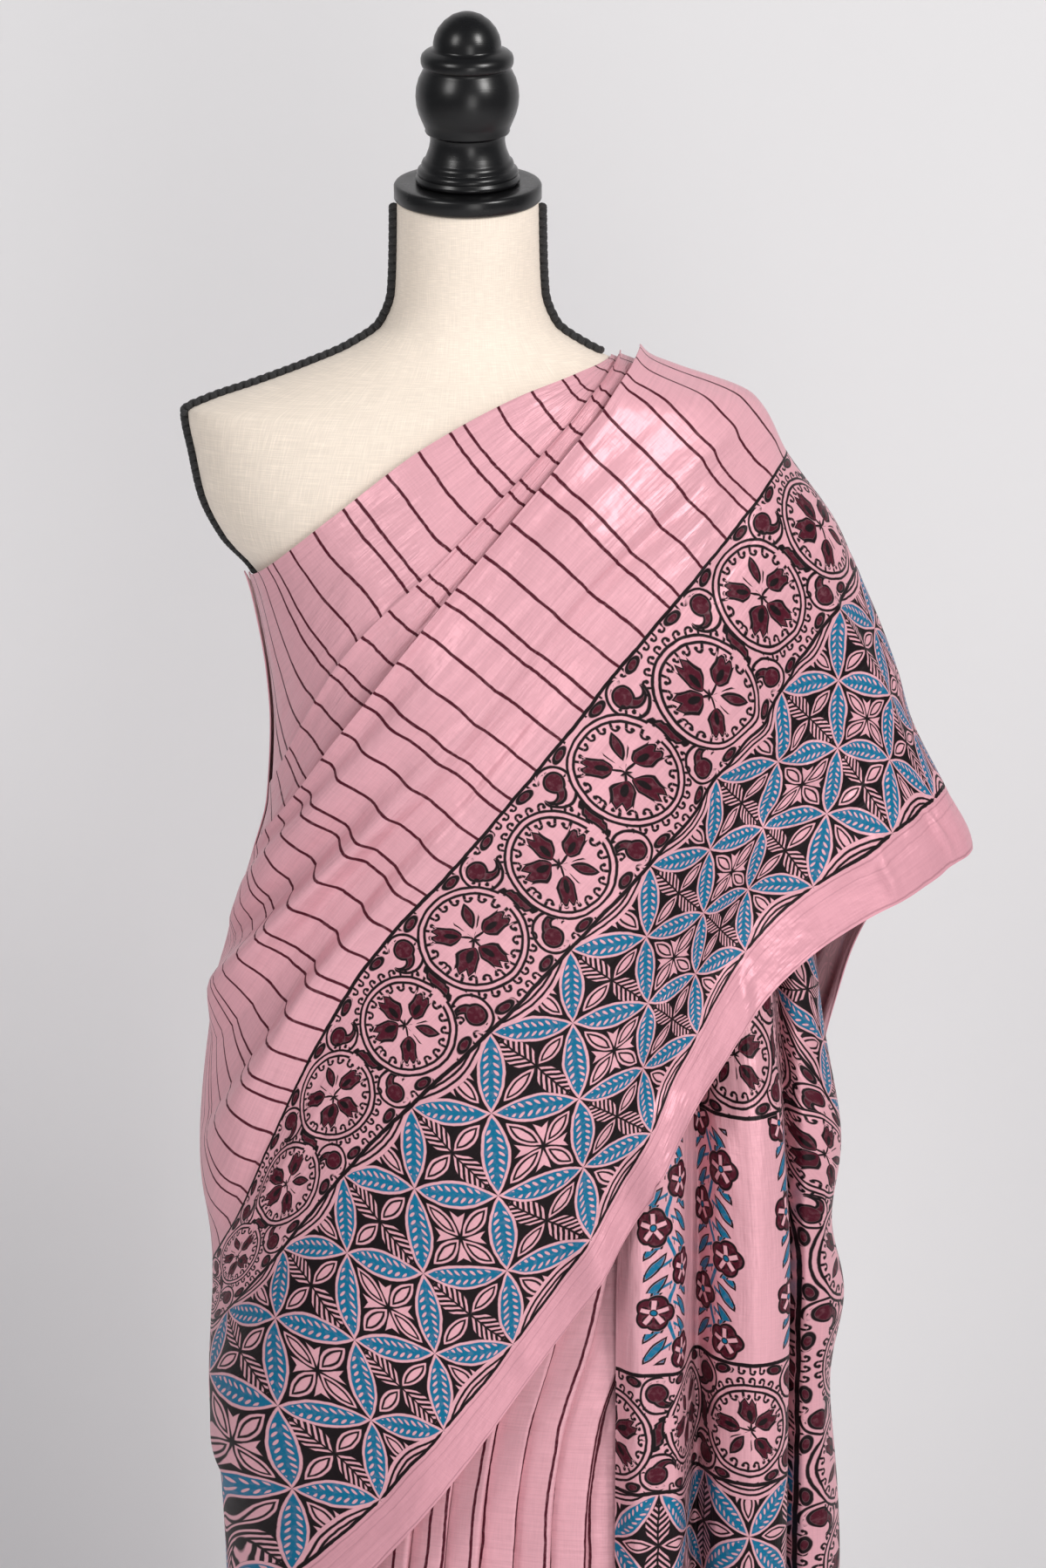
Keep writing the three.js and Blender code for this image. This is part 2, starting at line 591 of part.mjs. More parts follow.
function lathe(rows, sides) {
  const turned = new THREE.LatheGeometry(rows.map(([radius, height]) => new THREE.Vector2(radius, height)), sides);
  turned.deleteAttribute("normal");
  turned.deleteAttribute("uv");
  const merged = mergeVertices(turned, 1e-4);
  const points = [];
  const position = merged.getAttribute("position");
  for (let i = 0; i < position.count; i += 1) points.push(new THREE.Vector3().fromBufferAttribute(position, i));
  const index = merged.index.array;
  const faces = [];
  for (let i = 0; i < index.length; i += 3) {
    const [a, b, c] = [index[i], index[i + 1], index[i + 2]];
    if (a !== b && b !== c && c !== a) faces.push(a, b, c);
  }
  return solid(points, faces);
}

// Turned profiles are rows of radius and height.
const CAP = [
  [0, 0],
  [CAP_RADIUS - 1, 0],
  [CAP_RADIUS, 1.5],
  [CAP_RADIUS, CAP_THICKNESS - 2],
  [CAP_RADIUS - 2, CAP_THICKNESS],
  [0, CAP_THICKNESS],
];
const neckCap = () => onNeck(lathe(CAP, 32), SEAM_GAP);

// The turned knob over the cap: a stepped foot, a waist, a ball, a collar and a dome.
const KNOB = [
  [0, 0], [35, 0], [36, 2.5], [34, 5], [33.5, 10], [31, 13], [30, 17], [27, 23], [25.5, 29], [26, 35],
  [31, 43], [34.5, 51], [35.5, 60], [34.5, 69], [30.5, 78], [29.5, 80], [31.5, 83], [31.5, 88], [28.5, 92],
  [23.5, 94], [22, 99], [18, 108], [11, 115], [0, 118],
];
const knob = () => onNeck(lathe(KNOB, 24), 2 * SEAM_GAP + CAP_THICKNESS);

const POLE_TOP = FORM_BOTTOM - SEAM_GAP;
const POLE_FOOT = BASE_THICKNESS + SEAM_GAP;
const POLE = [
  [0, POLE_FOOT],
  [34, POLE_FOOT],
  [34, POLE_FOOT + 10],
  [POLE_RADIUS + 4, POLE_FOOT + 26],
  [POLE_RADIUS, POLE_FOOT + 40],
  [POLE_RADIUS, POLE_TOP - 30],
  [40, POLE_TOP - 12],
  [40, POLE_TOP],
  [0, POLE_TOP],
];
const pole = () => lathe(POLE, 16).rotateX(Math.PI / 2);

const BASE = [
  [0, 0],
  [BASE_RADIUS - 2, 0],
  [BASE_RADIUS, 2],
  [BASE_RADIUS, BASE_THICKNESS - 4],
  [BASE_RADIUS - 6, BASE_THICKNESS],
  [0, BASE_THICKNESS],
];
const base = () => lathe(BASE, 36).rotateX(Math.PI / 2);

// Finishes.
const finish = (name, color, roughness) =>
  new THREE.MeshStandardMaterial({ name, color, roughness, metalness: 0 });
const silk = finish("silk", 0xd9a0aa, 0.42);
silk.side = THREE.DoubleSide;
const linen = finish("form_cover", 0xe6d6c4, 0.9);
const cord = finish("braid", 0x1c1c1c, 0.8);
const lacquer = finish("black_wood", 0x141414, 0.3);

const group = new THREE.Group();
function add(name, geometry, material) {
  const mesh = new THREE.Mesh(geometry, material);
  mesh.name = name;
  group.add(mesh);
}

add("form_torso", torso(), linen);
add("form_braid_left", braid(-1, BRAID_END_LEFT), cord);
add("form_braid_right", braid(1, BRAID_END_RIGHT), cord);
add("neck_cap", neckCap(), lacquer);
add("neck_knob", knob(), lacquer);
add("stand_pole", pole(), lacquer);
add("stand_base", base(), lacquer);
add("first_wrap", firstWrap(), silk);
add("front_pleats", frontPleats(), silk);
add("second_wrap", secondWrap(), silk);
add("top_pleat", shoulderPleat(TOP_SELVEDGE, UPPER_FOLD - UNDERLAP, 0), silk);
add("middle_pleat", shoulderPleat(UPPER_FOLD, LOWER_FOLD - UNDERLAP, 1), silk);
add("front_drape", frontDrape(), silk);
add("pallu_back", palluBack(), silk);
add("pallu_end", palluEnd(), silk);

export default group;
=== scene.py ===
"""A block-printed silk saree draped on a covered dress form: cloth, print, form, light and camera."""

import math

import bmesh
import bpy
import numpy as np
from mathutils import Matrix, Vector


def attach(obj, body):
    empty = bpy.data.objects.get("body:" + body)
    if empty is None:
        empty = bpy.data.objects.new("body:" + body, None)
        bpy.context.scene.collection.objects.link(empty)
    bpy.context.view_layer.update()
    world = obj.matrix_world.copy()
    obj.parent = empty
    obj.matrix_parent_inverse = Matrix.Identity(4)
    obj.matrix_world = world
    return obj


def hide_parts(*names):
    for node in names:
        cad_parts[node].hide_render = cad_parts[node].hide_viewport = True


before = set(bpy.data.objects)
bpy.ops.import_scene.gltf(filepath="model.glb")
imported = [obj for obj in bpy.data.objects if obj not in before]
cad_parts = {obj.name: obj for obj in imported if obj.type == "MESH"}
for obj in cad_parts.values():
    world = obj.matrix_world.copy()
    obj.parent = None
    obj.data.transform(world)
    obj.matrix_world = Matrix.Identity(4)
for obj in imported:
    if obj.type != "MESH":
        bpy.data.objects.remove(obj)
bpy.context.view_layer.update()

bl_info = {
    "name": "Silk saree on dress form",
    "version": (1, 0, 0),
    "blender": (4, 5, 0),
    "location": "3D View > Sidebar > Saree",
    "description": "Builds the cloth, print, form and studio of a draped silk saree",
    "category": "Object",
}

MM = 0.001
# How far below the face's own UV the reverse of a cloth lies, in metres
REVERSE_SHIFT = 10.0
# The printed cloth, in millimetres across it from the lower selvedge
CLOTH_WIDTH = 1120
BORDER = {"plain": 35.0, "leaf": 155.0, "vine": 88.0}
BORDER_WIDTH = sum(BORDER.values())


def table(columns, *rows):
    """Rows of numbers under named columns."""
    names = columns.split()
    return [dict(zip(names, row)) for row in rows]


# Horizontal sections of the form, in millimetres, as in the part's source.
TORSO = table(
    "z half front back shift",
    (1522, 49, 47, 47, -12),
    (1490, 49.5, 48, 48, -8),
    (1458, 51, 50, 51, -2),
    (1436, 59, 53, 55, 0),
    (1420, 81, 57, 60, 0),
    (1407, 111, 62, 66, 0),
    (1394, 146, 70, 74, 0),
    (1382, 181, 77, 80, 0),
    (1374, 196, 81, 84, 0),
    (1345, 191, 93, 92, 0),
    (1316, 185, 103, 97, 0),
    (1286, 170, 112, 100, 0),
    (1264, 150, 115, 101, 0),
    (1245, 141, 117, 101, 0),
    (1190, 131, 112, 97, 0),
    (1120, 121, 97, 90, 0),
    (1060, 114, 87, 84, 0),
    (1015, 112, 84, 82, 0),
    (960, 125, 91, 94, 0),
    (900, 143, 101, 110, 0),
    (845, 154, 108, 118, 0),
    (790, 158, 109, 119, 0),
    (745, 155, 105, 112, 0),
    (722, 149, 99, 105, 0),
)
NECK_TOP = 1522
NECK_CENTRE = -12
NECK_TILT = math.radians(11)
CAP_THICKNESS = 12

# Horizontal sections of the outer cloth: its reach to -X and +X, to the front and to the back.
DRAPE = table(
    "z left right front back",
    (1430, 60, 66, 52, 50),
    (1413, 100, 99, 66, 68),
    (1398, 140, 141, 77, 79),
    (1378, 190, 193, 88, 88),
    (1341, 192, 214, 104, 98),
    (1290, 174, 250, 118, 106),
    (1261, 154, 263, 124, 109),
    (1235, 147, 275, 128, 110),
    (1186, 139, 294, 131, 108),
    (1155, 137, 303, 131, 106),
    (1099, 140, 331, 130, 103),
    (1061, 150, 349, 130, 101),
    (1015, 164, 350, 131, 102),
    (947, 181, 350, 135, 117),
    (841, 191, 350, 141, 133),
    (758, 183, 350, 145, 136),
    (665, 187, 350, 149, 138),
    (587, 179, 350, 152, 141),
    (500, 176, 350, 155, 145),
    (400, 180, 350, 160, 152),
    (200, 194, 350, 172, 169),
    (0, 216, 350, 188, 190),
)
SKIRT = table(
    "z half front back",
    (1018, 113, 85, 83),
    (960, 133, 99, 103),
    (900, 151, 109, 119),
    (845, 161, 115, 126),
    (790, 165, 117, 127),
    (700, 165, 119, 127),
    (550, 164, 123, 131),
    (400, 167, 131, 140),
    (200, 182, 148, 158),
    (0, 204, 168, 179),
)

# Threads along the cloth, by place from the lower selvedge, with their heights from left to right.
RAILS = table(
    "place left quarter middle three right",
    (590, 1261, 1314, 1361, 1393, 1413),
    (490, 1109, 1223, 1285, 1347, 1411),
    (413, 1040, 1152, 1250, 1331, 1407),
    (350, 930, 1066, 1184, 1293, 1375),
    (278, 757, 980, 1108, 1230, 1341),
    (190, 712, 872, 988, 1113, 1261),
    (35, 500, 640, 806, 1018, 1104),
    (0, 440, 597, 779, 984, 1061),
)
TOP_SELVEDGE = 590
UPPER_FOLD = 490
LOWER_FOLD = 413
UNDERLAP = 19
LAYER_STEP = 2.9
SIDE_STEP = 1.7
CLOTH_WALL = 1.2
SEAM_GAP = 0.3
HEM_HEIGHT = 6
TUCK = 2.2
WRAP_EASE = 9
FOLD_BASE = 3

# Soft folds that fan from the shoulder to the left hip.
FAN_FOLDS = table(
    "place lean half height peak",
    (388, 10, 10, 7, 0.3),
    (360, 20, 11, 9, 0.22),
    (330, 28, 11, -7, 0.18),
    (302, 16, 13, 6, 0.3),
    (234, 29, 33, -5, 0.12),
    (121, 46, 34, 6, 0.12),
    (64, 11, 27, -5, 0.3),
)
DROP = table(
    "z start width share",
    (1378, 140, 90, 0),
    (1290, 130, 110, 0.1),
    (1200, 120, 120, 0.26),
    (1120, 105, 120, 0.36),
    (1060, 95, 110, 0.36),
    (1000, 80, 100, 0.26),
    (930, 70, 90, 0.12),
    (850, 70, 80, 0),
)
WRAP_BACK = table(
    "turn top band low",
    (0, 1261, 757, 440),
    (45, 1185, 560, 240),
    (90, 1105, 375, 85),
    (135, 1050, 290, 22),
    (180, 1018, 270, HEM_HEIGHT),
    (228, 1016, 268, HEM_HEIGHT),
)
PLEAT_COUNT = 7
PLEAT_RISE = 8
PLEAT_STEPS = 26
# The cloth hidden in each pleat, in metres
PLEAT_TUCK = 0.11
PLEAT_EDGES = table(
    "z left right",
    (1005, 10, 112),
    (900, -8, 146),
    (831, -22, 150),
    (745, -38, 136),
    (663, -54, 110),
    (600, -64, 104),
    (400, -86, 112),
    (0, -128, 140),
)
PLEAT_PROFILE = table("share height", (0.02, 0), (0.35, 0.42), (0.7, 0.78), (0.93, 1), (0.98, 0.9))
END_ROLLS = table(
    "place topX topY lowX lowY",
    (343, 132, -66, 103, -130),
    (320, 142, -58, 120, -145),
    (293, 150, -50, 146, -138),
    (240, 160, -22, 162, -84),
    (213, 172, -34, 176, -112),
    (187, 190, -36, 201, -126),
    (157, 208, -24, 226, -104),
    (101, 215, 0, 229, -44),
    (82, 226, -10, 240, -62),
    (66, 240, -6, 255, -56),
    (26, 248, 0, 266, -18),
    (0, 244, 8, 262, 8),
)
# The printed cloth's own distance from its selvedge along the loose end, at its top and at its foot.
END_PRINT = table(
    "place top low",
    (343, 480, 500),
    (187, 335, 345),
    (157, 300, 310),
    (101, 180, 285),
    (0, 60, 215),
)
END_TOP = 1090
PALLU_END_HEIGHT = 430
PALLU_BACK = table(
    "run inner outer",
    (0, 90, 90),
    (0.12, 118, 96),
    (0.3, 148, 101),
    (0.55, 178, 103),
    (1, 198, 104),
)
PALLU_RIGHT = table(
    "z reach",
    (1413, 99),
    (1398, 141),
    (1378, 193),
    (1341, 214),
    (1290, 250),
    (1235, 275),
    (1155, 303),
    (1099, 331),
    (1061, 347),
    (1040, 316),
    (1015, 284),
    (960, 262),
    (877, 246),
    (783, 246),
    (400, 252),
)
PALLU_FOLDS = 6
PALLU_FOLD_HEIGHT = 11
PALLU_CLEARANCE = 8.8


def smooth(t):
    """Eases from 0 to 1."""
    c = np.clip(t, 0, 1)
    return c * c * (3 - 2 * c)


def mix(a, b, t):
    """The value a share t of the way from a to b."""
    return a + (b - a) * t


def bump(d):
    """A soft hill, 1 at 0."""
    return np.exp(-d * d)


def follow(rows, key, value, at):
    """A smooth curve through a table's rows that never swings past them."""
    pairs = sorted((row[key], row[value]) for row in rows)
    return along_curve(np.array([p[0] for p in pairs], float), np.array([p[1] for p in pairs], float), at)


def along_curve(xs, ys, at):
    """A monotone cubic through points, read at any array of places."""
    slopes = np.diff(ys) / np.diff(xs)
    before, after = slopes[:-1], slopes[1:]
    total = np.where(before * after > 0, before + after, 1)
    inner = np.where(before * after > 0, 2 * before * after / total, 0)
    bends = np.concatenate([slopes[:1], inner, slopes[-1:]])
    x = np.clip(at, xs[0], xs[-1])
    i = np.clip(np.searchsorted(xs, x, side="right") - 1, 0, len(xs) - 2)
    span = xs[i + 1] - xs[i]
    t = (x - xs[i]) / span
    rise = (1 + 2 * t) * (1 - t) ** 2 * ys[i] + t * t * (3 - 2 * t) * ys[i + 1]
    return rise + span * (t * (1 - t) ** 2 * bends[i] + t * t * (t - 1) * bends[i + 1])


def lumps(x, y, seed, cell):
    """Smooth random hills between -1 and 1, the same on every run."""
    gx, gy = np.floor(x / cell), np.floor(y / cell)
    fx, fy = smooth(x / cell - gx), smooth(y / cell - gy)

    def corner(i, j):
        value = np.sin(i * 127.1 + j * 311.7 + seed * 74.7) * 43758.5453
        return 2 * (value - np.floor(value)) - 1

    low = mix(corner(gx, gy), corner(gx + 1, gy), fx)
    high = mix(corner(gx, gy + 1), corner(gx + 1, gy + 1), fx)
    return mix(low, high, fy)


def normals_of(points, ring=False):
    """The unit normals of a grid of points, facing away from the form's axis."""
    if ring:
        along = np.roll(points, -1, 0) - np.roll(points, 1, 0)
    else:
        along = np.gradient(points, axis=0)
    over = np.gradient(points, axis=1)
    out = np.cross(along, over)
    out /= np.linalg.norm(out, axis=2, keepdims=True) + 1e-12
    facing = np.sum(out[:, :, :2] * points[:, :, :2])
    return out if facing > 0 else -out


def lifted(points, distance):
    """A grid moved along its own normals."""
    return points + normals_of(points) * np.asarray(distance)[..., None]


def cloth(name, outer, uv, thickness, material, ring=False):
    """A closed thin shell under a grid of points in millimetres, with the flat cloth's metres as its UV."""
    normals = normals_of(outer, ring)
    inner = outer - normals * thickness
    n, m = outer.shape[:2]
    points = np.concatenate([outer.reshape(-1, 3), inner.reshape(-1, 3)]) * MM
    spans = n if ring else n - 1
    i, j = np.meshgrid(np.arange(spans), np.arange(m - 1), indexing="ij")
    i, j = i.ravel(), j.ravel()

    def at(a, b, layer):
        return layer * n * m + (a % n) * m + b

    def quads(corners):
        faces = np.stack([at(a, b, layer) for a, b, layer in corners], 1)
        maps = np.stack([uv[a, b] - np.array([0, REVERSE_SHIFT * layer]) for a, b, layer in corners], 1)
        return faces, maps

    sides = [
        quads([(i, j, 0), (i + 1, j, 0), (i + 1, j + 1, 0), (i, j + 1, 0)]),
        quads([(i, j, 1), (i, j + 1, 1), (i + 1, j + 1, 1), (i + 1, j, 1)]),
    ]
    a = np.arange(spans)
    b = np.arange(m - 1)
    low, high = np.zeros_like(a), np.full_like(a, m - 1)
    rims = [
        quads([(a, low, 0), (a, low, 1), (a + 1, low, 1), (a + 1, low, 0)]),
        quads([(a, high, 0), (a + 1, high, 0), (a + 1, high, 1), (a, high, 1)]),
    ]
    if not ring:
        first, last = np.zeros_like(b), np.full_like(b, n - 1)
        rims.append(quads([(first, b, 0), (first, b + 1, 0), (first, b + 1, 1), (first, b, 1)]))
        rims.append(quads([(last, b, 0), (last, b, 1), (last, b + 1, 1), (last, b + 1, 0)]))
    for _, maps in rims:
        across = maps[:, :, 1]
        maps[:, :, 1] = np.where(across < -REVERSE_SHIFT / 2, across + REVERSE_SHIFT, across)
    faces = np.concatenate([f for f, _ in sides + rims])
    maps = np.concatenate([u for _, u in sides + rims])
    p = points[faces[0]]
    if np.dot(np.cross(p[1] - p[0], p[2] - p[0]), normals[0, 0]) < 0:
        faces = faces[:, ::-1]
        maps = maps[:, ::-1]
    mesh = mesh_from(name, points, faces)
    mesh.uv_layers.new(name="cloth").data.foreach_set("uv", maps.astype(np.float32).ravel())
    mark_rims(mesh, n, m, ring)
    mesh.materials.append(material)
    piece = bpy.data.objects.new(name, mesh)
    bpy.context.scene.collection.objects.link(piece)
    return piece


def mesh_from(name, points, faces):
    """A smooth-shaded mesh from arrays of points and four-sided faces."""
    mesh = bpy.data.meshes.new(name)
    mesh.vertices.add(len(points))
    mesh.vertices.foreach_set("co", points.astype(np.float32).ravel())
    mesh.loops.add(faces.size)
    mesh.loops.foreach_set("vertex_index", faces.astype(np.int32).ravel())
    mesh.polygons.add(len(faces))
    mesh.polygons.foreach_set("loop_start", np.arange(0, faces.size, 4, dtype=np.int32))
    mesh.update(calc_edges=True)
    mesh.validate()
    mesh.shade_smooth()
    return mesh


def mark_rims(mesh, n, m, ring):
    """Makes a shell's cut edges crisp."""
    ends = np.empty(len(mesh.edges) * 2, dtype=np.int32)
    mesh.edges.foreach_get("vertices", ends)
    ends = ends.reshape(-1, 2)
    layer = ends // (n * m)
    row = (ends % (n * m)) // m
    column = ends % m
    same = layer[:, 0] == layer[:, 1]
    on_rim = (column[:, 0] == column[:, 1]) & ((column[:, 0] == 0) | (column[:, 0] == m - 1))
    if not ring:
        on_rim |= (row[:, 0] == row[:, 1]) & ((row[:, 0] == 0) | (row[:, 0] == n - 1))
    sharp = mesh.attributes.new("sharp_edge", "BOOLEAN", "EDGE")
    sharp.data.foreach_set("value", same & on_rim)


def arc_lengths(points, axis=0):
    """The distance walked along a grid of points."""
    steps = np.linalg.norm(np.diff(points, axis=axis), axis=2)
    pad = [(1, 0), (0, 0)] if axis == 0 else [(0, 0), (1, 0)]
    return np.cumsum(np.pad(steps, pad), axis=axis)


def flat_size(points):
    """The width and length in metres of the cut that shows: length walked along the threads, then width."""
    length = arc_lengths(points)[-1].mean() * MM
    one, two = points[1:, 1:] - points[:-1, :-1], points[1:, :-1] - points[:-1, 1:]
    area = np.linalg.norm(np.cross(one, two), axis=2).sum() / 2 * MM * MM
    return float(area / length), float(length)


# The front drape: run goes 0 to 1 from the left outline to the right one.


def front_surface(runs, places):
    """Points of the front drape at every run and place, before any fold or lift."""
    share = (1 + np.sin(np.pi * (np.clip(runs, 0, 1) - 0.5))) / 2
    stations = np.array([0, 0.25, 0.5, 0.75, 1])
    columns = ("left", "quarter", "middle", "three", "right")
    heights = [follow(RAILS, "place", column, places) for column in columns]
    z = np.empty((len(runs), len(places)))
    for k in range(len(places)):
        z[:, k] = along_curve(stations, np.array([h[k] for h in heights]), share)
    left = -follow(DRAPE, "z", "left", heights[0])
    right = follow(DRAPE, "z", "right", heights[4])
    x = mix(left[None, :], right[None, :], share[:, None])
    return np.stack([x, -front_depth(x, z), z], 2)


def front_depth(x, z):
    """How far the front drape stands out at a place in the front view."""
    reach = np.where(x < 0, follow(DRAPE, "z", "left", z), follow(DRAPE, "z", "right", z))
    across = np.clip(np.abs(x) / reach, 0, 1)
    drop = follow(DROP, "z", "share", z)
    fall = smooth((x - follow(DROP, "z", "start", z)) / follow(DROP, "z", "width", z))
    return follow(DRAPE, "z", "front", z) * np.sqrt(1 - across * across) * (1 - drop * fall)


def fan_relief(run, place):
    """The big soft folds of the front drape and the waves of its lower selvedge."""
    rise = np.zeros(np.broadcast(run, place).shape)
    for fold in FAN_FOLDS:
        line = fold["place"] - fold["lean"] * run
        fade = 1 - smooth((run - fold["peak"]) / (0.95 - fold["peak"]))
        strength = np.where(run < fold["peak"], 1, fade)
        rise += fold["height"] * strength * bump((place - line) / fold["half"])
    for wave in EDGE_WAVES:
        rise += wave["height"] * bump((run - wave["run"]) / wave["half"]) * bump(place / wave["reach"])
    rise *= smooth((run - 0.02) / 0.12)
    return rise + 5 * bump((LOWER_FOLD - place) / 9) * smooth((run - 0.02) / 0.2)


def layer_lift(layer, run):
    """How far one pleat of the shoulder lies above the form."""
    return layer * mix(SIDE_STEP, LAYER_STEP, smooth(run / 0.25))


# Waves of the lower selvedge, by the run where each stands.
EDGE_WAVES = table(
    "run half height reach",
    (0.62, 0.022, 6, 90),
    (0.585, 0.016, -4, 60),
    (0.556, 0.014, 8, 70),
    (0.53, 0.012, -5, 50),
    (0.506, 0.014, 7, 80),
    (0.45, 0.03, -4, 70),
    (0.36, 0.03, 4, 70),
    (0.7, 0.03, -4, 70),
    (0.8, 0.03, 5, 60),
    (0.9, 0.03, -4, 60),
)
# Soft creases of the front drape: where each starts and ends, its half width and its height.
CREASES = table(
    "run0 place0 run1 place1 half height",
    (0.06, 402, 0.42, 386, 6, 4),
    (0.03, 384, 0.42, 362, 6, -5.5),
    (0.03, 368, 0.46, 340, 7, 5.5),
    (0.02, 344, 0.42, 314, 7, -6),
    (0.03, 324, 0.46, 290, 8, 6),
    (0.03, 300, 0.38, 262, 8, -5),
    (0.34, 330, 0.62, 306, 9, -3),
    (0.4, 380, 0.72, 362, 9, 3.4),
    (0.52, 346, 0.8, 330, 9, -3),
    (0.6, 392, 0.86, 384, 8, -2.6),
    (0.66, 360, 0.92, 356, 9, 3),
    (0.62, 318, 0.86, 300, 9, 2.6),
    (0.1, 262, 0.36, 232, 10, 3.4),
    (0.06, 214, 0.3, 170, 9, -3.4),
    (0.16, 160, 0.4, 110, 12, 3),
    (0.4, 246, 0.62, 200, 12, -2.4),
    (0.66, 262, 0.74, 60, 7, -4.5),
    (0.72, 262, 0.8, 40, 8, 4.5),
    (0.79, 240, 0.86, 50, 7, -3.6),
    (0.86, 250, 0.93, 60, 8, 3),
    (0.575, 150, 0.6, 20, 8, 3.6),
    (0.5, 130, 0.53, 20, 7, -3),
    (0.445, 38, 0.45, 0, 5, 2.6),
    (0.53, 36, 0.524, 2, 4, -3),
    (0.568, 38, 0.58, 0, 5, 3),
    (0.64, 34, 0.63, 0, 4, 2.6),
    (0.7, 36, 0.712, 0, 5, -2.6),
    (0.8, 34, 0.79, 0, 5, 2.6),
    (0.9, 36, 0.91, 0, 4, 2.4),
    (0.02, 130, 0.14, 90, 8, 3),
    (0.02, 90, 0.12, 60, 7, -3),
)


def crease_relief(run, place):
    """The small creases, as ridges and troughs along short lines."""
    rise = np.zeros(np.broadcast(run, place).shape)
    scale = 700.0
    for c in CREASES:
        dx, dy = (c["run1"] - c["run0"]) * scale, c["place1"] - c["place0"]
        px, py = (run - c["run0"]) * scale, place - c["place0"]
        t = np.clip((px * dx + py * dy) / (dx * dx + dy * dy), 0, 1)
        away = np.hypot(px - t * dx, py - t * dy)
        rise += c["height"] * bump(away / c["half"]) * np.sin(np.pi * np.clip(t, 0.04, 0.96))
    return rise


def thread_uv(points, places, reference):
    """UV in metres: across from the places, along by walking square to the threads from one of them."""
    length = arc_lengths(points)
    along = np.empty(points.shape[:2])
    along[:, reference] = length[:, reference] - length[-1, reference]
    tangent = np.gradient(points, axis=0)
    tangent /= np.linalg.norm(tangent, axis=2, keepdims=True) + 1e-12
    for step, stop in ((1, points.shape[1]), (-1, -1)):
        k = reference
        while k + step != stop:
            move = points[:, k + step] - points[:, k]
            facing = (tangent[:, k] + tangent[:, k + step]) / 2
            along[:, k + step] = along[:, k] + np.sum(move * facing, 1)
            k += step
    return np.stack([along, np.broadcast_to(places, along.shape)], 2) * MM


def front_piece(name, upper, lower, layer, counts, material, thickness, relief):
    """One stretch of the front drape between two places."""
    runs = np.linspace(0, 1, counts[0])
    places = np.linspace(upper, lower, counts[1])
    base = front_surface(runs, places)
    lift = layer_lift(layer, runs)[:, None] + CLOTH_WALL + relief(runs[:, None], places[None, :])
    outer = lifted(base, lift)
    reference = int(np.argmin(np.abs(places - BORDER_WIDTH))) if lower == 0 else len(places) // 2
    piece = cloth(name, outer, thread_uv(base, places, reference), thickness, material)
    return piece, outer


# The print. A Field is a number that varies over the cloth; positive depths lie inside a shape.


class Field:
    """A shader socket that adds, subtracts, multiplies and divides like a number."""

    def __init__(self, graph, socket):
        self.graph = graph
        self.socket = socket

    def __add__(self, other):
        return self.graph.math("ADD", self, other)

    def __radd__(self, other):
        return self.graph.math("ADD", other, self)

    def __sub__(self, other):
        return self.graph.math("SUBTRACT", self, other)

    def __rsub__(self, other):
        return self.graph.math("SUBTRACT", other, self)

    def __mul__(self, other):
        return self.graph.math("MULTIPLY", self, other)

    def __rmul__(self, other):
        return self.graph.math("MULTIPLY", other, self)

    def __truediv__(self, other):
        return self.graph.math("DIVIDE", self, other)

    def __rtruediv__(self, other):
        return self.graph.math("DIVIDE", other, self)

    def __neg__(self):
        return self.graph.math("MULTIPLY", self, -1.0)

    def __abs__(self):
        return self.graph.math("ABSOLUTE", self)


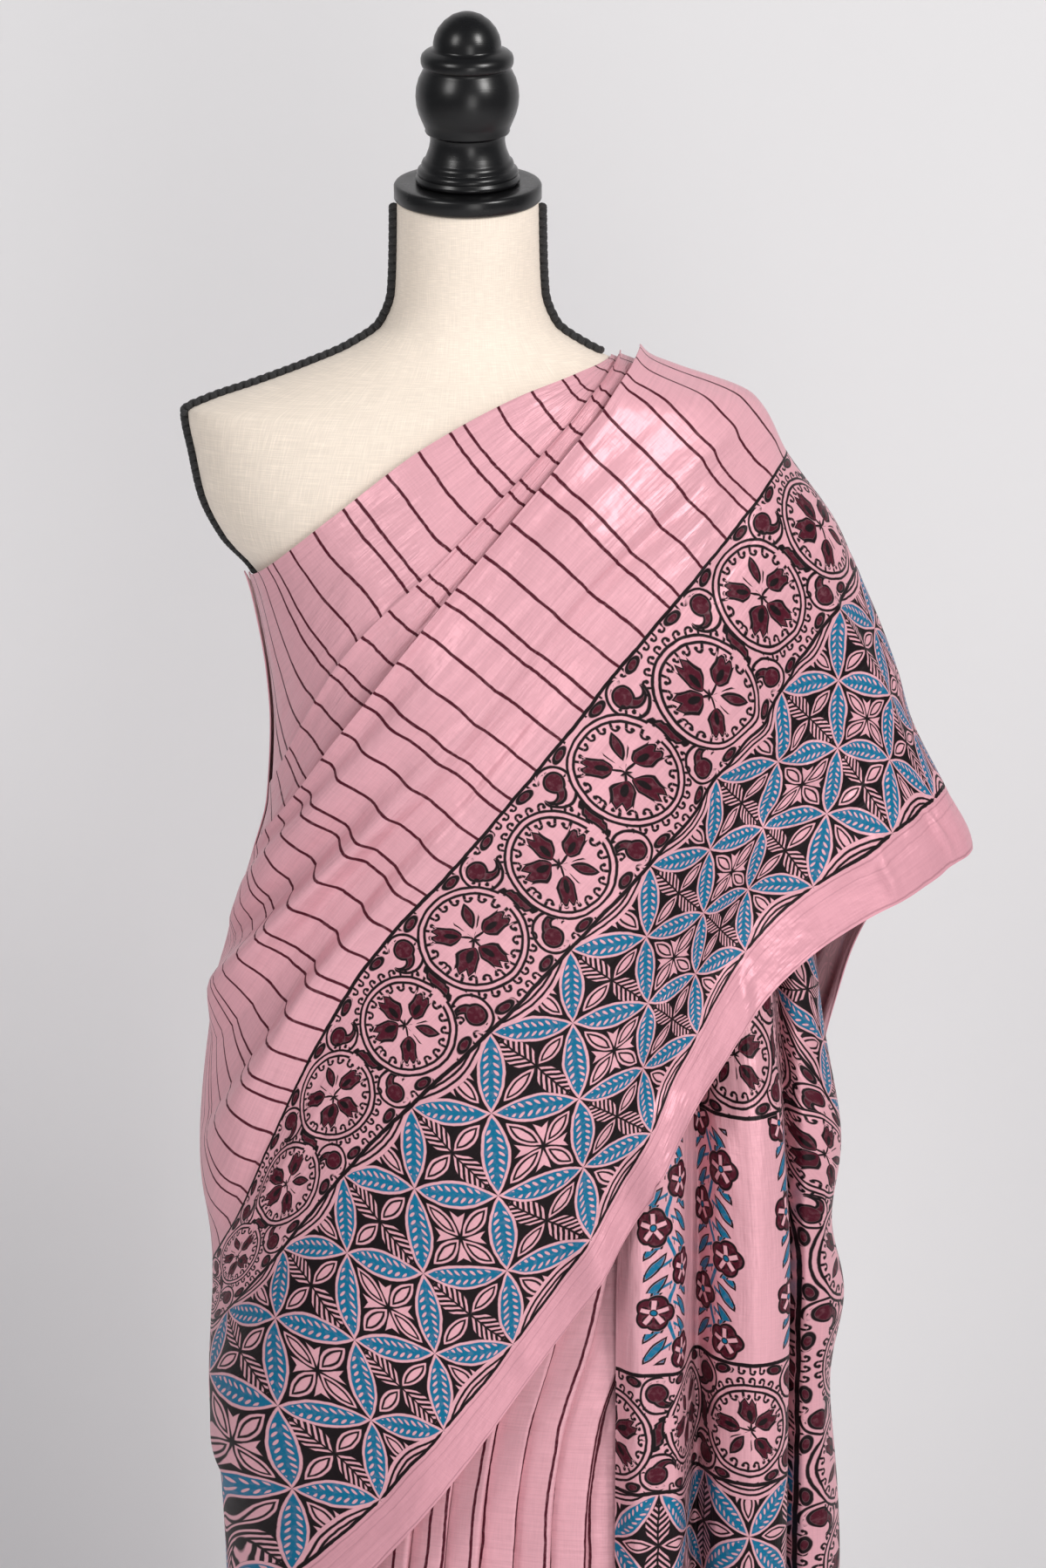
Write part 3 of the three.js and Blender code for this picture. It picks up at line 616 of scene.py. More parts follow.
class Graph:
    """Builds a material's node tree."""

    def __init__(self, name):
        self.material = bpy.data.materials.new(name)
        self.material.use_nodes = True
        self.tree = self.material.node_tree
        self.tree.nodes.clear()

    def node(self, kind, settings=None, inputs=None, output=0):
        """Any node: its type, its settings and its inputs by name or index."""
        made = self.tree.nodes.new(kind)
        for key, value in (settings or {}).items():
            setattr(made, key, value)
        for key, value in (inputs or {}).items():
            if isinstance(value, Field):
                self.tree.links.new(value.socket, made.inputs[key])
            else:
                made.inputs[key].default_value = value
        return Field(self, made.outputs[output]) if made.outputs else made

    def math(self, operation, *values):
        return self.node("ShaderNodeMath", {"operation": operation}, dict(enumerate(values)))

    def low(self, *values):
        first = values[0]
        for value in values[1:]:
            first = self.math("MINIMUM", first, value)
        return first

    def high(self, *values):
        first = values[0]
        for value in values[1:]:
            first = self.math("MAXIMUM", first, value)
        return first

    def wrap(self, value, period):
        return self.math("FLOORED_MODULO", value, period)

    def centred(self, value, period):
        return self.wrap(value, period) - period / 2

    def sine(self, value):
        return self.math("SINE", value)

    def length(self, x, y):
        return self.math("SQRT", x * x + y * y)

    def angle(self, y, x):
        return self.math("ARCTAN2", y, x)

    def ink(self, depth, soft=0.35):
        """1 inside a shape and 0 outside it, with a soft edge in millimetres."""
        inputs = {0: depth, 1: -soft, 2: soft, 3: 0.0, 4: 1.0}
        return self.node("ShaderNodeMapRange", {"interpolation_type": "SMOOTHSTEP"}, inputs)

    def above(self, value, limit):
        return self.math("GREATER_THAN", value, limit)

    def blend(self, factor, first, second):
        return self.node("ShaderNodeMix", {"data_type": "FLOAT"}, {0: factor, 2: first, 3: second})

    def colour(self, factor, first, second, blend="MIX"):
        settings = {"data_type": "RGBA", "blend_type": blend}
        return self.node("ShaderNodeMix", settings, {0: factor, 6: first, 7: second}, output=2)

    def vector(self, x, y, z=0.0):
        return self.node("ShaderNodeCombineXYZ", None, {0: x, 1: y, 2: z})

    def parts(self, vector):
        made = self.node("ShaderNodeSeparateXYZ", None, {0: vector})
        outputs = made.socket.node.outputs
        return [Field(self, outputs[k]) for k in range(3)]

    def noise(self, vector, scale, detail=2.0, output=0, rough=0.5):
        inputs = {"Vector": vector, "Scale": scale, "Detail": detail, "Roughness": rough}
        return self.node("ShaderNodeTexNoise", {"noise_dimensions": "2D"}, inputs, output)

    def finish(self, inputs, instead=None, where=0.0):
        """Ends the tree, with another shader in place of the main one where a factor is 1."""
        shader = self.node("ShaderNodeBsdfPrincipled", None, inputs)
        if instead:
            shader = self.node("ShaderNodeMixShader", None, {0: where, 1: shader, 2: instead})
        self.node("ShaderNodeOutputMaterial", None, {0: shader})
        return self.material


PALLU_START = 452.0
BOUQUET_BAND = 172.0
STRIPE_REPEAT = 88.0
STRIPES = (6.0, 17.0, 43.0, 69.0)
VINE_REPEAT = 77.5


def leaf_lattice(g, s, t):
    """Leaves on a slanted lattice with flowers and ferns between: returns black and blue inks."""
    height = BORDER["leaf"]
    row = height / 4
    side = row * math.sqrt(2)
    a = (s + t) * math.sqrt(0.5)
    b = (s - t) * math.sqrt(0.5)
    p, q = g.centred(a, side), g.centred(b, side)
    near_p, near_q = side / 2 - abs(p), side / 2 - abs(q)
    fat = 9.0
    flat = g.math("MULTIPLY_ADD", p * p, -fat * 4 / side**2, fat) - near_q
    steep = g.math("MULTIPLY_ADD", q * q, -fat * 4 / side**2, fat) - near_p
    leaf = g.high(flat, steep)
    which = g.above(flat, steep)
    along = g.blend(which, q, p)
    off = g.blend(which, near_p, near_q)
    vein_x = g.centred(along + off * 0.8, 4.9) / 1.15
    vein_y = (off - 3.3) / 1.75
    veins = g.low(1.0 - g.length(vein_x, vein_y), leaf - 2.6)
    x, y = (p + q) * math.sqrt(0.5), (p - q) * math.sqrt(0.5)
    ax, ay = abs(x), abs(y)

    def petal(far, wide):
        middle = (far - 15.0) / 13.0
        return g.math("MULTIPLY_ADD", middle * middle, -5.2, 5.2) - wide

    main = petal(ax, ay)
    second = petal(ay, ax)
    tips = g.high(
        g.low((abs(p) - 3.0) * 0.34 - abs(q), 13.0 + abs(q) * 0.7 - abs(p)),
        g.low((abs(q) - 3.0) * 0.34 - abs(p), 13.0 + abs(p) * 0.7 - abs(q)),
    )
    reach = (ay - 15.0) / 16.0
    stroke = 1.05 - abs(g.centred(ay - ax * 1.05, 4.7))
    fern = g.low(stroke, g.math("MULTIPLY_ADD", reach * reach, -8.0, 8.0) - ax, ax - 0.7)
    cell = g.wrap(g.math("FLOOR", a / side) + g.math("FLOOR", b / side), 2.0)
    is_fern = g.above(cell, 0.5)

    def petal_lines(depth):
        return g.high(g.low(depth, 1.5 - depth), depth - 3.0)

    flower = g.high(petal_lines(main), petal_lines(second), tips)
    ferns = g.high(petal_lines(main), fern)
    motif = g.blend(is_fern, flower, ferns)
    swing = abs(g.sine(s * (math.pi / (2 * row)))) * 11.0
    edge = g.low(t, height - t)
    inside = edge - swing
    ground = g.ink(inside)
    arc = g.high(0.9 - abs(inside + 3.6), 0.9 - abs(inside + 7.4))
    pale = g.math("MULTIPLY", g.ink(motif), ground)
    leaf_pale = g.ink(leaf)
    blue = g.ink(leaf - 1.8)
    oval = g.ink(veins * 1.6)
    lines = g.high(g.low(g.ink(arc), g.ink(edge)), g.ink(1.3 - abs(edge)))
    black = g.math("MAXIMUM", ground * (1.0 - pale), lines) * (1.0 - leaf_pale)
    return black * g.ink(edge + 1.3), blue * (1.0 - oval) * g.ink(edge)


def tulip(g, x, y):
    """A closed flower 19 mm long that grows along x from its round foot to three points."""
    foot = g.math("SQRT", g.low(g.high(x / 6.0, 0.0), 1.0))
    waist = g.math("SMOOTH_MIN", x, 11.5, 3.0) * 0.17
    teeth = abs(g.centred(y + 2.7, 5.4)) * 1.6
    return g.low(foot * 7.4 - waist - abs(y), 14.2 - x + teeth)


def curls(g, along, out):
    """A row of hooked tendrils on a line: along it, and out from it, in millimetres."""
    x = g.centred(along, 7.8)
    stem = g.low(0.85 - abs(x - 1.8), out, 3.4 - out)
    curl = g.low(0.85 - abs(g.length(x, out - 3.4) - 1.8), out - 3.3)
    knob = 1.3 - g.length(x + 1.7, out - 3.1)
    return g.high(stem, curl, knob)


def vine_scroll(g, s, t):
    """Rings of vine with tulips, hooks and curled leaves: returns black and maroon inks."""
    height = BORDER["vine"]
    edge = g.low(t, height - t)
    x = g.centred(s, VINE_REPEAT)
    flip = g.above(g.wrap(s / VINE_REPEAT, 2.0), 1.0) * 2.0 - 1.0
    y = (t - height / 2) * flip + 4.0
    r = g.length(x * 0.96, y)
    turn = g.angle(y, x)
    ring = g.high(0.95 - abs(r - 33.6), 0.95 - abs(r - 29.6))
    mouth = g.low(x - 6.0, 5.6 - abs(y + 7.0 - x * 0.16))
    ring = g.low(ring, -mouth)
    outer = curls(g, turn * 35.0 + 2.0, r - 33.4)
    outer = g.low(outer, y + 24.0, 30.0 + x, 36.0 - x)
    sector = 2 * math.pi / 5
    fold = g.centred(turn + 0.42, sector)
    near = g.sine(turn * 2.0 + 0.6) * 1.6 + 6.4
    sway = g.sine(turn * 3.0) * 1.3
    tx, ty = r * g.math("COSINE", fold) - near, r * g.sine(fold) + sway
    gap = abs(turn + 1.05) - 0.62
    flower = g.low(tulip(g, tx, ty), 25.0 - r, gap * 12.0)
    seed = 1.2 - g.length((tx - 6.0) / 3.6, ty / 1.8)
    inner = curls(g, turn * -24.0, 29.2 - r)
    lean_x, lean_y = x * 0.62 - y * 0.78 - 15.0, x * 0.78 + y * 0.62
    drop = g.math("MULTIPLY_ADD", lean_x * lean_x, -0.052, 3.2) - abs(lean_y + lean_x * 0.1)
    drop = g.low(drop, gap * -12.0)
    inner = g.low(inner, -1.4 - flower, -1.4 - drop)
    corner = g.centred(s + VINE_REPEAT / 2, VINE_REPEAT)
    side = g.above(g.wrap(s / VINE_REPEAT + 0.5, 2.0), 1.0) * 2.0 - 1.0
    tall = (t - height / 2) / 13.0
    ragged = abs(g.centred(t, 4.4)) * 0.5
    bud = (1.0 - g.length((corner + tall * 4.0 * side) / 5.0, tall)) * 5.0 - ragged
    across = corner * side / 1.3
    inward = (edge - 15.5) / 1.3
    body = 5.2 - g.length(across + 1.4, inward + 1.2)
    bend = g.length(across - 4.0, inward - 1.0)
    sweep = g.angle(inward - 1.0, 4.0 - across)
    tail = g.low(2.9 - sweep * 1.05 - abs(bend - 5.0), sweep + 0.3)
    paisley = g.high(body, tail) * 1.3
    loop = g.low(0.75 - abs(g.length(across - 0.3, inward * 0.95) - 10.0), inward * 0.7 - across + 9.0) * 1.3
    commas = (1.0 - g.length((abs(corner) - 18.5) / 5.6, (edge - 7.6 + abs(corner) * 0.12) / 3.0)) * 3.0
    rim = g.low(curls(g, s, edge - 1.4), r - 38.5, 9.0 - edge, -loop - 1.5, -paisley - 1.5, -commas - 1.2)
    solids = g.high(flower, drop, g.low(g.high(bud, commas), r - 34.8), g.low(paisley, r - 35.2))
    maroon = g.ink(solids - 0.9)
    outline = 0.95 - abs(solids - 0.1)
    lines = g.high(ring, outer, inner, g.low(loop, r - 34.0), rim, outline, g.low(seed * 1.8, flower))
    black = g.ink(lines) * g.ink(edge - 1.2)
    border = g.ink(1.5 - abs(edge - 0.3))
    return g.math("MAXIMUM", black, border) * g.ink(edge + 1.2), maroon * g.ink(edge - 1.5)


def bouquet(g, s, h):
    """Upright sprays of round flowers: returns black, maroon, blue and pale inks."""
    up = BOUQUET_BAND - h
    x = g.centred(s + 50.0, 78.0)
    tall = g.low(up - 8.0, 162.0 - up)
    rows = 30.0
    level = g.math("FLOOR", up / rows)
    side = g.wrap(level, 2.0) * 2.0 - 1.0
    stem = g.low(1.5 - abs(x + g.sine(up * (math.pi / rows)) * 4.0), tall)
    fx = x - side * 12.0
    fy = g.centred(up, rows)
    r = g.length(fx, fy)
    turn = g.angle(fy, fx)
    flower = g.low(10.6 + abs(g.sine(turn * 2.5)) * 2.4 - r, tall + 8.0)
    petal = g.centred(turn + 0.3, 2 * math.pi / 5)
    star = g.low(1.5 - abs(petal) * r, r - 2.6, 9.4 - r)
    heart = 2.3 - r
    arc = g.low(0.5 - abs(g.length(r * g.math("COSINE", petal) - 6.6, r * g.sine(petal)) - 2.6), 10.0 - r)
    mx = -side * x
    branch_y = g.centred(up + mx * 0.55, rows / 2)
    branch = g.low(1.1 - abs(branch_y), mx - 0.5, 19.0 - mx, tall)
    lx = g.centred(mx - 2.5, 17.0)
    slant_x, slant_y = lx * 0.84 - branch_y * 0.54, lx * 0.54 + branch_y * 0.84
    leaf = g.math("MULTIPLY_ADD", slant_x * slant_x, -0.047, 3.9) - abs(slant_y - 1.6)
    leaf = g.low(leaf, tall, 18.6 - mx, mx - 2.6)
    twig_x = g.centred(x + side * 20.0, 60.0)
    twig_y = g.centred(up + 7.0, rows / 2)
    twig = g.math("MULTIPLY_ADD", twig_y * twig_y, -0.09, 2.8) - abs(twig_x + twig_y * 0.5)
    leaf = g.high(leaf, g.low(twig, tall, 5.6 - abs(twig_y)))
    out = 1.0 - g.ink(flower + 1.0)
    blue = g.high(g.ink(stem), g.ink(branch), g.ink(leaf - 0.9)) * out
    blue = g.high(blue, g.ink(heart))
    edges = g.high(g.ink(0.9 - abs(flower)), g.ink(0.6 - abs(heart)), g.ink(arc))
    black = g.high(g.ink(0.8 - abs(leaf)) * out, edges)
    region = g.ink(g.low(h, up))
    return black * region, g.ink(flower) * region, blue * region, g.ink(star) * region


def silk_material(settings):
    """Dusty-pink silk with its stripes, borders and end bands printed by the cloth's own measures."""
    g = Graph("printed_silk")
    uv = g.node("ShaderNodeUVMap", {"uv_map": "cloth"})
    raw_u, raw_v, _ = g.parts(uv)
    back = 1.0 - g.above(raw_v, -REVERSE_SHIFT / 2)
    metres_v = raw_v + back * REVERSE_SHIFT
    place = g.vector(raw_u, metres_v)
    shake = g.parts(g.noise(place, 120.0, 2.0, output=1))
    drift = g.parts(g.noise(place, 22.0, 1.0, output=1))
    u = raw_u * 1000.0 + (shake[0] - 0.5) * 1.0 + (drift[0] - 0.5) * 3.0
    v = metres_v * 1000.0 + (shake[1] - 0.5) * 1.0 + (drift[1] - 0.5) * 3.0
    cross = g.above(v, BORDER_WIDTH + 1.5) * g.above(u, PALLU_START - 3.0)
    second = g.above(u, PALLU_START + BORDER["vine"] + BOUQUET_BAND / 2)
    start = second * (BORDER["vine"] + BOUQUET_BAND) + PALLU_START
    vine_t = g.blend(cross, v - BORDER["plain"] - BORDER["leaf"], u - start)
    vine_s = g.blend(cross, u, v)
    leaf_start = PALLU_START + 2 * BORDER["vine"] + BOUQUET_BAND
    leaf_t = g.blend(cross, v - BORDER["plain"], u - leaf_start)
    leaf_black, leaf_blue = leaf_lattice(g, vine_s, leaf_t)
    vine_black, vine_maroon = vine_scroll(g, vine_s, vine_t)
    spray = bouquet(g, v, u - (PALLU_START + BORDER["vine"]))
    spray_black, spray_maroon, spray_blue, spray_pale = [ink * cross for ink in spray]
    x = g.wrap(u, STRIPE_REPEAT)
    gaps = [abs(x - at) for at in STRIPES]
    body = g.above(v, BORDER_WIDTH) * (1.0 - cross)
    before_end = g.ink(PALLU_START - 24.0 - u)
    stripes = g.ink(1.1 - g.low(*gaps)) * before_end
    end_lines = g.ink(1.2 - abs(abs(u - (PALLU_START - 16.0)) - 4.5))
    stripes = g.high(stripes, end_lines) * body
    black = g.high(leaf_black, vine_black, spray_black)
    maroon = g.high(vine_maroon, spray_maroon, stripes)
    blue = g.high(leaf_blue, spray_blue)
    streak = g.noise(g.vector(raw_u * 14.0, metres_v * 900.0), 1.0, 3.0)
    fine = g.noise(g.vector(raw_u * 900.0, metres_v * 60.0), 1.0, 2.0)
    cloudy = g.noise(place, 7.0, 2.0)
    tone = streak * 0.2 + fine * 0.12 + cloudy * 0.16 + 0.76
    grey = g.node("ShaderNodeCombineColor", None, {0: tone, 1: tone, 2: tone})
    ground = g.colour(1.0, tuple(settings.ground), grey, "MULTIPLY")
    selvedge = g.ink(33.5 - v, 0.8) * g.above(v, -20.0)
    ground = g.colour(selvedge * 0.35, ground, tuple(settings.selvedge))
    woven = g.high(g.ink(0.5 - abs(v - 31.0)), g.ink(0.6 - abs(v - 2.2)), g.ink(0.4 - abs(v - 24.0)) * 0.6)
    ground = g.colour(woven * 0.3, ground, tuple(settings.maroon))
    patchy = g.noise(place, 260.0, 2.0)
    wear = g.node("ShaderNodeMapRange", None, {0: patchy, 1: 0.2, 2: 0.5, 3: 0.9, 4: 1.0})
    through = 1.0 - back * 0.78
    colour = g.colour(maroon * wear * through, ground, tuple(settings.maroon))
    colour = g.colour(blue * wear * through, colour, tuple(settings.blue))
    colour = g.colour(black * through, colour, tuple(settings.black))
    colour = g.colour(spray_pale * through, colour, ground)
    colour = g.colour(back * 0.2, colour, (0.9, 0.7, 0.72, 1.0))
    dark = g.high(black, maroon, blue)
    rough = settings.roughness + (cloudy - 0.5) * 0.16 + dark * 0.12
    relief = streak * 0.6 + fine * 0.4
    crumple = g.noise(g.vector(raw_u * 26.0, metres_v * 60.0), 1.0, 3.0, rough=0.45)
    pulled = g.noise(g.vector(raw_u * 9.0, metres_v * 240.0), 1.0, 2.0)
    drag = {"Strength": 0.6, "Distance": 0.004, "Height": crumple + pulled * 0.2}
    soft = g.node("ShaderNodeBump", None, drag)
    normal = g.node(
        "ShaderNodeBump", None, {"Strength": 0.3, "Distance": 0.0006, "Height": relief, "Normal": soft}
    )
    return g.finish(
        {
            "Base Color": colour,
            "Roughness": rough,
            "Metallic": (1.0 - dark) * settings.satin,
            "Normal": normal,
            "Sheen Weight": settings.sheen,
            "Sheen Roughness": 0.35,
            "Sheen Tint": (1.0, 0.86, 0.88, 1.0),
            "Specular IOR Level": 0.18,
            "Specular Tint": (1.0, 0.86, 0.89, 1.0),
        }
    )


def linen_material(settings):
    """Cream linen pulled smooth over the form, with a fine slubbed weave."""
    g = Graph("cream_linen")
    place = g.node("ShaderNodeTexCoord", output=3)
    x, y, z = g.parts(place)
    around = g.angle(y, x) * 0.11
    weft = g.noise(g.vector(around * 60.0, z * 1500.0), 1.0, 3.0)
    warp = g.noise(g.vector(around * 1500.0, z * 60.0), 1.0, 3.0)
    cloudy = g.noise(g.vector(around, z), 14.0, 3.0)
    slub = g.math("POWER", weft, 3.0) + g.math("POWER", warp, 3.0)
    tone = slub * 0.34 + cloudy * 0.1 + 0.86
    grey = g.node("ShaderNodeCombineColor", None, {0: tone, 1: tone, 2: tone})
    colour = g.colour(1.0, tuple(settings.linen), grey, "MULTIPLY")
    normal = g.node("ShaderNodeBump", None, {"Strength": 0.25, "Distance": 0.0006, "Height": weft + warp})
    inputs = {"Base Color": colour, "Roughness": 0.85, "Normal": normal, "Sheen Weight": 0.15}
    return g.finish(inputs)


def lacquer_material(settings):
    """Black satin lacquer over turned wood, with faint rings and dust."""
    g = Graph("black_lacquer")
    place = g.node("ShaderNodeTexCoord", output=3)
    _, _, z = g.parts(place)
    rings = g.noise(g.vector(z * 900.0, z * 0.0), 1.0, 2.0)
    dust = g.node("ShaderNodeTexNoise", None, {"Vector": place, "Scale": 60.0, "Detail": 6.0})
    rough = 0.2 + dust * 0.14 + rings * 0.05
    colour = g.colour(dust * 0.15, tuple(settings.lacquer), (0.012, 0.012, 0.013, 1.0))
    normal = g.node("ShaderNodeBump", None, {"Strength": 0.08, "Distance": 0.0005, "Height": rings})
    inputs = {"Base Color": colour, "Roughness": rough, "Normal": normal, "Specular IOR Level": 0.4}
    return g.finish(inputs)


def braid_material(settings):
    """Black braid yarn with a dull twist."""
    g = Graph("black_braid")
    place = g.node("ShaderNodeTexCoord", output=3)
    yarn = g.node("ShaderNodeTexNoise", None, {"Vector": place, "Scale": 1400.0, "Detail": 3.0})
    colour = g.colour(yarn, (0.006, 0.006, 0.007, 1.0), (0.026, 0.025, 0.026, 1.0))
    normal = g.node("ShaderNodeBump", None, {"Strength": 0.5, "Distance": 0.0004, "Height": yarn})
    return g.finish({"Base Color": colour, "Roughness": 0.8, "Normal": normal, "Sheen Weight": 0.2})


def wall_material(settings):
    """The pale studio wall, clear when seen from behind."""
    g = Graph("studio_wall")
    place = g.node("ShaderNodeTexCoord", output=3)
    mottle = g.node("ShaderNodeTexNoise", None, {"Vector": place, "Scale": 3.0, "Detail": 4.0})
    colour = g.colour(mottle * 0.25, tuple(settings.wall), (0.80, 0.80, 0.815, 1.0))
    clear = g.node("ShaderNodeBsdfTransparent")
    behind = g.node("ShaderNodeNewGeometry", output=6)
    return g.finish({"Base Color": colour, "Roughness": 0.95}, instead=clear, where=behind)


def kept(name, maker, settings):
    """A material made once and shared."""
    return bpy.data.materials.get(name) or maker(settings)


def settings_of(context):
    return context.scene.saree


class SareeSettings(bpy.types.PropertyGroup):
    """Sizes and colours a user would change."""

    thickness: bpy.props.FloatProperty(
        name="Cloth thickness",
        description="Thickness of the shown silk",
        default=0.0009,
        unit="LENGTH",
    )
    wrinkles: bpy.props.FloatProperty(
        name="Wrinkles",
        # Height of the small creases
        description="Height of the small hand-placed creases",
        default=1.4,
        min=0.0,
        max=2.0,
    )
    ground: bpy.props.FloatVectorProperty(
        name="Ground",
        description="The silk's own pink",
        default=(0.74, 0.385, 0.44, 1.0),
        size=4,
        subtype="COLOR",
    )
    selvedge: bpy.props.FloatVectorProperty(
        name="Selvedge",
        description="The plain lower edge",
        default=(0.62, 0.255, 0.325, 1.0),
        size=4,
        subtype="COLOR",
    )
    maroon: bpy.props.FloatVectorProperty(
        name="Maroon",
        description="Stripes and flowers",
        default=(0.07, 0.005, 0.015, 1.0),
        size=4,
        subtype="COLOR",
    )
    blue: bpy.props.FloatVectorProperty(
        name="Blue",
        description="Leaves",
        default=(0.0005, 0.145, 0.27, 1.0),
        size=4,
        subtype="COLOR",
    )
    black: bpy.props.FloatVectorProperty(
        name="Black",
        description="Printed outlines",
        default=(0.006, 0.0035, 0.0045, 1.0),
        size=4,
        subtype="COLOR",
    )
    roughness: bpy.props.FloatProperty(
        name="Silk roughness", description="How dull the silk's shine is", default=0.37, min=0.1, max=1.0
    )
    satin: bpy.props.FloatProperty(
        name="Satin", description="Strength of the silk's pink gleam", default=0.1, min=0.0, max=1.0
    )
    sheen: bpy.props.FloatProperty(
        name="Sheen",
        description="Soft light along the silk's edges",
        default=0.03,
        min=0.0,
        max=1.0,
    )
    linen: bpy.props.FloatVectorProperty(
        name="Linen",
        description="The form's cover",
        default=(0.86, 0.755, 0.645, 1.0),
        size=4,
        subtype="COLOR",
    )
    lacquer: bpy.props.FloatVectorProperty(
        name="Lacquer",
        description="Cap, knob and stand",
        default=(0.004, 0.004, 0.0045, 1.0),
        size=4,
        subtype="COLOR",
    )
    braid_width: bpy.props.FloatProperty(
        name="Braid width",
        description="Width of the black braid",
        default=0.0112,
        unit="LENGTH",
    )
    wall: bpy.props.FloatVectorProperty(
        name="Wall",
        description="The studio wall",
        default=(0.84, 0.835, 0.845, 1.0),
        size=4,
        subtype="COLOR",
    )
    key_power: bpy.props.FloatProperty(
        name="Key light",
        description="Power of the right-hand light",
        default=70.0,
        unit="POWER",
    )
    fill_power: bpy.props.FloatProperty(
        name="Fill light",
        description="Power of the left-hand light",
        default=32.0,
        unit="POWER",
    )
    low_power: bpy.props.FloatProperty(
        name="Low light", description="Power of the light at the hips", default=15.0, unit="POWER"
    )


class SAREE_OT_camera(bpy.types.Operator):
    """Places the camera as in the photograph"""

    bl_idname = "saree.camera"
    bl_label = "Camera"

    def execute(self, context):
        target = Vector((0.038, -0.095, 1.128))
        pitch = math.radians(12)
        distance = 3.0
        data = bpy.data.cameras.new("camera")
        data.lens = 100
        data.sensor_width = 36
        data.clip_start = 0.05
        data.clip_end = 50
        camera = bpy.data.objects.new("camera", data)
        camera.location = target + distance * Vector((0, -math.cos(pitch), math.sin(pitch)))
        camera.rotation_euler = (math.pi / 2 - pitch, 0, 0)
        context.scene.collection.objects.link(camera)
        context.scene.camera = camera
        return {"FINISHED"}


STUDIO_HALF_WIDTH = 4.0
STUDIO_HEIGHT = 4.5
LIGHT_AIM = (0.02, -0.05, 1.15)
LIGHT_COLOUR = (1.0, 0.985, 0.97)


def area_light(name, place, size, power):
    """One large soft light."""
    data = bpy.data.lights.new(name, "AREA")
    data.shape = "RECTANGLE"
    data.size, data.size_y = size
    data.energy = power
    data.color = LIGHT_COLOUR
    light = bpy.data.objects.new(name, data)
    light.location = place
    light.rotation_euler = (Vector(LIGHT_AIM) - Vector(place)).to_track_quat("-Z", "Y").to_euler()
    bpy.context.scene.collection.objects.link(light)


class SAREE_OT_stage(bpy.types.Operator):
    """Builds the studio wall, its floor and the lights"""

    bl_idname = "saree.stage"
    bl_label = "Studio"

    def execute(self, context):
        settings = settings_of(context)
        front, back, bend, steps = -4.5, 1.0, 0.7, 12
        profile = [(front, 0.0), (back - bend, 0.0)]
        for step in range(1, steps + 1):
            angle = math.pi / 2 * step / steps
            profile.append((back - bend + bend * math.sin(angle), bend - bend * math.cos(angle)))
        profile.append((back, STUDIO_HEIGHT))
        sides = (-STUDIO_HALF_WIDTH, STUDIO_HALF_WIDTH)
        points = [(x, y, z - MM) for y, z in profile for x in sides]
        faces = [(2 * k, 2 * k + 1, 2 * k + 3, 2 * k + 2) for k in range(len(profile) - 1)]
        mesh = bpy.data.meshes.new("studio")
        mesh.from_pydata(points, [], faces)
        mesh.shade_smooth()
        mesh.materials.append(kept("studio_wall", wall_material, settings))
        studio = bpy.data.objects.new("studio", mesh)
        context.scene.collection.objects.link(studio)
        area_light("key", (1.9, -2.1, 2.9), (0.8, 1.2), settings.key_power)
        area_light("fill", (-1.8, -2.1, 2.7), (0.8, 1.2), settings.fill_power)
        area_light("low", (0.6, -2.9, 1.0), (0.7, 1.4), settings.low_power)
        world = bpy.data.worlds.new("studio_air")
        world.use_nodes = True
        sky = world.node_tree.nodes["Background"]
        sky.inputs[0].default_value = (0.93, 0.95, 1.0, 1.0)
        sky.inputs[1].default_value = 0.2
        context.scene.world = world
        context.scene.view_settings.view_transform = "Standard"
        return {"FINISHED"}


def declare_cloth(piece, node, points):
    """Hangs a stretch of cloth on the root body and hides the solid it stands for; the size of its cut is
    worked out but not kept.
    """
    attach(piece, "root")
    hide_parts(node)
    flat_size(points)


def body_grid(rows, count):
    """Rings of points round the form."""
    turns = np.linspace(0, 2 * np.pi, count, endpoint=False)
    body, shoulder = np.linspace(722, 1374, 90), np.linspace(1376, 1436, 40)
    heights = np.concatenate([body, shoulder, np.linspace(1438, NECK_TOP, 36)])
    rings = []
    for z in heights:
        half, shift = follow(rows, "z", "half", z), follow(rows, "z", "shift", z)
        depth = np.where(np.sin(turns) < 0, follow(rows, "z", "front", z), follow(rows, "z", "back", z))
        x, y = half * np.cos(turns), depth * np.sin(turns) + shift
        lean = smooth((z - 1470) / (NECK_TOP - 1470)) * math.tan(NECK_TILT)
        rings.append(np.stack([x, y, z + (y - NECK_CENTRE) * lean], 1))
    return np.array(rings)


